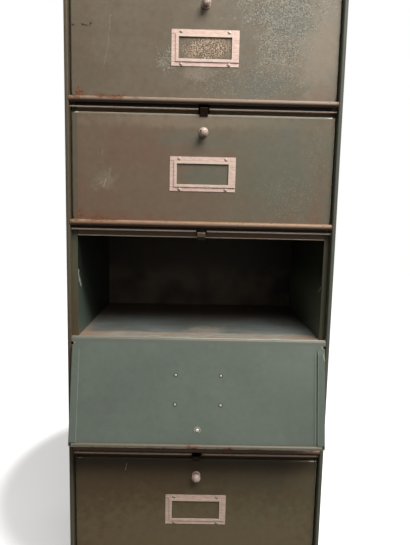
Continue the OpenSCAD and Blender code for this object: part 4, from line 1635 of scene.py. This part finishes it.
@dataclass(frozen=True)
class Flap:
    """One flap with its knob, screw, card holder and rivets."""

    tier: int
    finish: FlapFinish
    knob_finish: Finish = Finish.CAST
    panel_edge: float = 0.25
    screw_edge: float = 0.12
    holder_edge: float = 0.2
    rivet_flare: float = 1.6
    rivet_rise: float = 0.6

    @property
    def body(self) -> str:
        """Name of the body that turns on the hinge."""
        return f"flap_{self.tier}"

    @property
    def placing(self) -> Matrix:
        """Works out where the flap's own space lies in the cabinet's at rest.

        Returns:
            The change from the one to the other, in metres.
        """
        hinge = HINGES[self.body]
        opened = -math.radians(hinge["range_deg"][0])
        return Matrix.Translation(hinge["pos_m"]) @ Matrix.Rotation(opened, 4, "X")

    @property
    def outward(self) -> Matrix:
        """Turns the Z axis to point out of the flap's face."""
        return self.placing.to_3x3() @ Matrix.Rotation(math.pi / 2, 3, "X")

    def build(self) -> None:
        """Builds and dresses every piece of the flap."""
        self.sheet("flap_panel", self.panel_edge, self.finish.material(), "flap_paint")
        self.knob()
        self.sheet("knob_screw", self.screw_edge, Finish.SCREW.material(), "bright_steel")
        self.sheet("label_frame", self.holder_edge, Finish.HOLDER.material(), "raw_aluminium")
        self.rivets()

    def sheet(self, kind: str, edge: float, material: bpy.types.Material, slot: str) -> None:
        """Dresses a copy of one of the flap's CAD nodes.

        Args:
            kind: The node's name without its number.
            edge: Width of the softened edges in millimetres.
            material: The material.
            slot: The record's material slot.
        """
        node = f"{kind}_{self.tier}"
        dress(self.marked(sheet_copy(node, edge)), material, self.body, slot, node)

    def marked(self, piece: bpy.types.Object) -> bpy.types.Object:
        """Stores each point's place in the flap's own space.

        Args:
            piece: The piece.

        Returns:
            The same piece.
        """
        store = piece.data.attributes.new(FLAP_PLACE, "FLOAT_VECTOR", "POINT")
        back = self.placing.inverted()
        for index, vertex in enumerate(piece.data.vertices):
            store.data[index].vector = (back @ vertex.co) / MM
        return piece

    def knob(self) -> None:
        """Turns the knob and sets it on the flap's face."""
        node = f"knob_{self.tier}"
        piece = turned(node + "_dressed", KnobShape().outline())
        foot = self.placing @ Vector((0.0, SIZE.face * MM, SIZE.knob_up * MM))
        piece.data.transform(Matrix.Translation(foot) @ self.outward.to_4x4())
        dress(self.marked(piece), self.knob_finish.material(), self.body, "raw_aluminium", node)

    def rivets(self) -> None:
        """Sets the four rivets of the card holder."""
        node = f"label_rivets_{self.tier}"
        length = SIZE.sheet + SIZE.label_sheet
        depth = SIZE.face + SIZE.sheet - length / 2
        material = Finish.ALUMINIUM.material()
        piece = RivetTree.make(
            node + "_dressed", Span_Across=2 * SIZE.rivet_across * MM, Span_Up=2 * SIZE.rivet_up * MM, Rows=2,
            Shank_Radius=SIZE.rivet_radius * MM, Head_Radius=self.rivet_flare * SIZE.rivet_radius * MM,
            Head_Height=self.rivet_rise * MM, Shank_Length=length * MM, Turn=self.outward.to_euler(),
            Middle=self.placing @ Vector((0.0, depth * MM, SIZE.label_up * MM)), Material=material)
        dress(piece, material, self.body, "raw_aluminium", node)


# ---- Studio ----


@dataclass(frozen=True)
class Viewpoint:
    """Where the camera stands and looks, in metres and degrees."""

    eye: Point = (-0.0025, -0.873, 0.6443)
    down: float = 7.517
    turn: float = -0.705
    roll: float = 1.301
    lens: float = 33.29

    def build(self) -> None:
        """Makes the camera, which looks along +Y before it is turned."""
        camera = bpy.data.cameras.new("camera")
        camera.lens = self.lens
        camera.clip_start = 0.01
        level = Matrix(((1, 0, 0), (0, 0, -1), (0, 1, 0)))
        tilt = Matrix.Rotation(math.radians(self.down), 3, "X")
        swing = Matrix.Rotation(math.radians(self.turn), 3, "Y")
        lean = Matrix.Rotation(math.radians(self.roll), 3, "Z")
        rows = lean @ tilt @ swing @ level
        turn = Matrix((rows[0], -rows[1], -rows[2])).transposed()
        holder = linked("camera", camera)
        holder.matrix_world = Matrix.Translation(self.eye) @ turn.to_4x4()
        bpy.context.scene.camera = holder


@dataclass(frozen=True)
class Softbox:
    """A soft rectangular light."""

    name: str
    place: Point
    target: Point
    width: float
    height: float
    power: float
    tint: Colour = (1.0, 0.96, 0.91)

    def build(self) -> None:
        """Makes the light."""
        light = bpy.data.lights.new(self.name, "AREA")
        light.shape = "RECTANGLE"
        light.size, light.size_y = self.width, self.height
        light.energy = self.power
        light.color = self.tint
        aim = (Vector(self.target) - Vector(self.place)).to_track_quat("-Z", "Y")
        linked(self.name, light).matrix_world = Matrix.Translation(self.place) @ aim.to_matrix().to_4x4()


@dataclass(frozen=True)
class Studio:
    """Pale floor, dim surroundings that look white, and softboxes."""

    floor_half: float = 4.0
    shade_middle: Point = (-150.0, 270.0, 0.0)
    shade_reach: Point = (300.0, 350.0, 1000.0)
    shade_level: float = 0.465
    fill: float = 0.13
    warm: Colour = (1.0, 0.96, 0.9)
    white: Colour = (1.0, 1.0, 1.0)
    paper: Colour = (0.35, 0.35, 0.35)
    dim_paper: Colour = (0.15, 0.14, 0.13)
    softboxes: tuple[Softbox, ...] = (
        Softbox("key_light", (0.74, -1.14, 2.3), (0.16, -0.12, 0.72), 1.5, 1.1, 70.0),
        Softbox("front_fill", (1.0, -2.2, 1.3), (0.0, -0.1, 0.5), 1.6, 1.6, 4.0),
        Softbox("right_rear", (2.0, 1.5, 1.4), (0.2, 0.25, 0.5), 1.2, 1.6, 16.0),
        Softbox("left_rear", (-2.0, 1.5, 1.4), (-0.2, 0.25, 0.5), 1.2, 1.6, 16.0))

    def build(self) -> None:
        """Makes the floor, the surroundings, the lights and the camera."""
        self.floor()
        self.world()
        for softbox in self.softboxes:
            softbox.build()
        Viewpoint().build()
        bpy.context.scene.view_settings.view_transform = "Standard"

    def floor(self) -> None:
        """Makes the floor: pale paper that glows for the camera as if lit, with a painted shadow in an oval
        about the cabinet's left side.
        """
        mesh = bpy.data.meshes.new("floor")
        half = self.floor_half
        corners = [(x * half, y * half, 0.0) for x, y in ((-1, -1), (1, -1), (1, 1), (-1, 1))]
        mesh.from_pydata(corners, [], [(0, 1, 2, 3)])
        floor = linked("floor", mesh)
        surface = Surface("floor_paper")
        # painted shadow: the glow drops to the shade level inside an oval
        away = surface.vector("DIVIDE", surface.vector("SUBTRACT", surface.place, self.shade_middle),
                              self.shade_reach)
        glow = surface.lerp(surface.step(surface.vector("LENGTH", away), 0.9, 1.12), self.shade_level, 1.0)
        seen = surface.add("ShaderNodeLightPath").outputs["Is Camera Ray"]
        for name, value in {"Roughness": 0.9, "Emission Color": self.white,
                            "Emission Strength": surface.times(glow, seen),
                            "Base Color": surface.blend(seen, self.dim_paper, self.paper)}.items():
            surface.put(surface.shader.inputs[name], value)
        mesh.materials.append(surface.material)

    def world(self) -> None:
        """Makes surroundings that look white but light the cabinet only a little."""
        world = bpy.data.worlds.new("surroundings")
        bpy.context.scene.world = world
        world.use_nodes = True
        world.node_tree.nodes.clear()
        graph = Graph(world.node_tree)
        seen = graph.add("ShaderNodeLightPath").outputs["Is Camera Ray"]
        sky = graph.add("ShaderNodeBackground", {
            "Color": graph.blend(seen, self.warm, self.white), "Strength": graph.lerp(seen, self.fill, 1.0)})
        graph.add("ShaderNodeOutputWorld", {"Surface": sky.outputs[0]})


def main() -> None:
    """Builds the cabinet piece by piece, and the studio round it."""
    logging.basicConfig(level=logging.INFO, format="%(name)s: %(message)s")
    for part in (Case(), Tiers(), Catches()):
        part.build()
    for tier, finish in FLAP_FINISHES.items():
        Flap(tier, finish, KNOB_FINISHES.get(tier, Finish.CAST)).build()
    Studio().build()


if __name__ == "__main__":
    main()
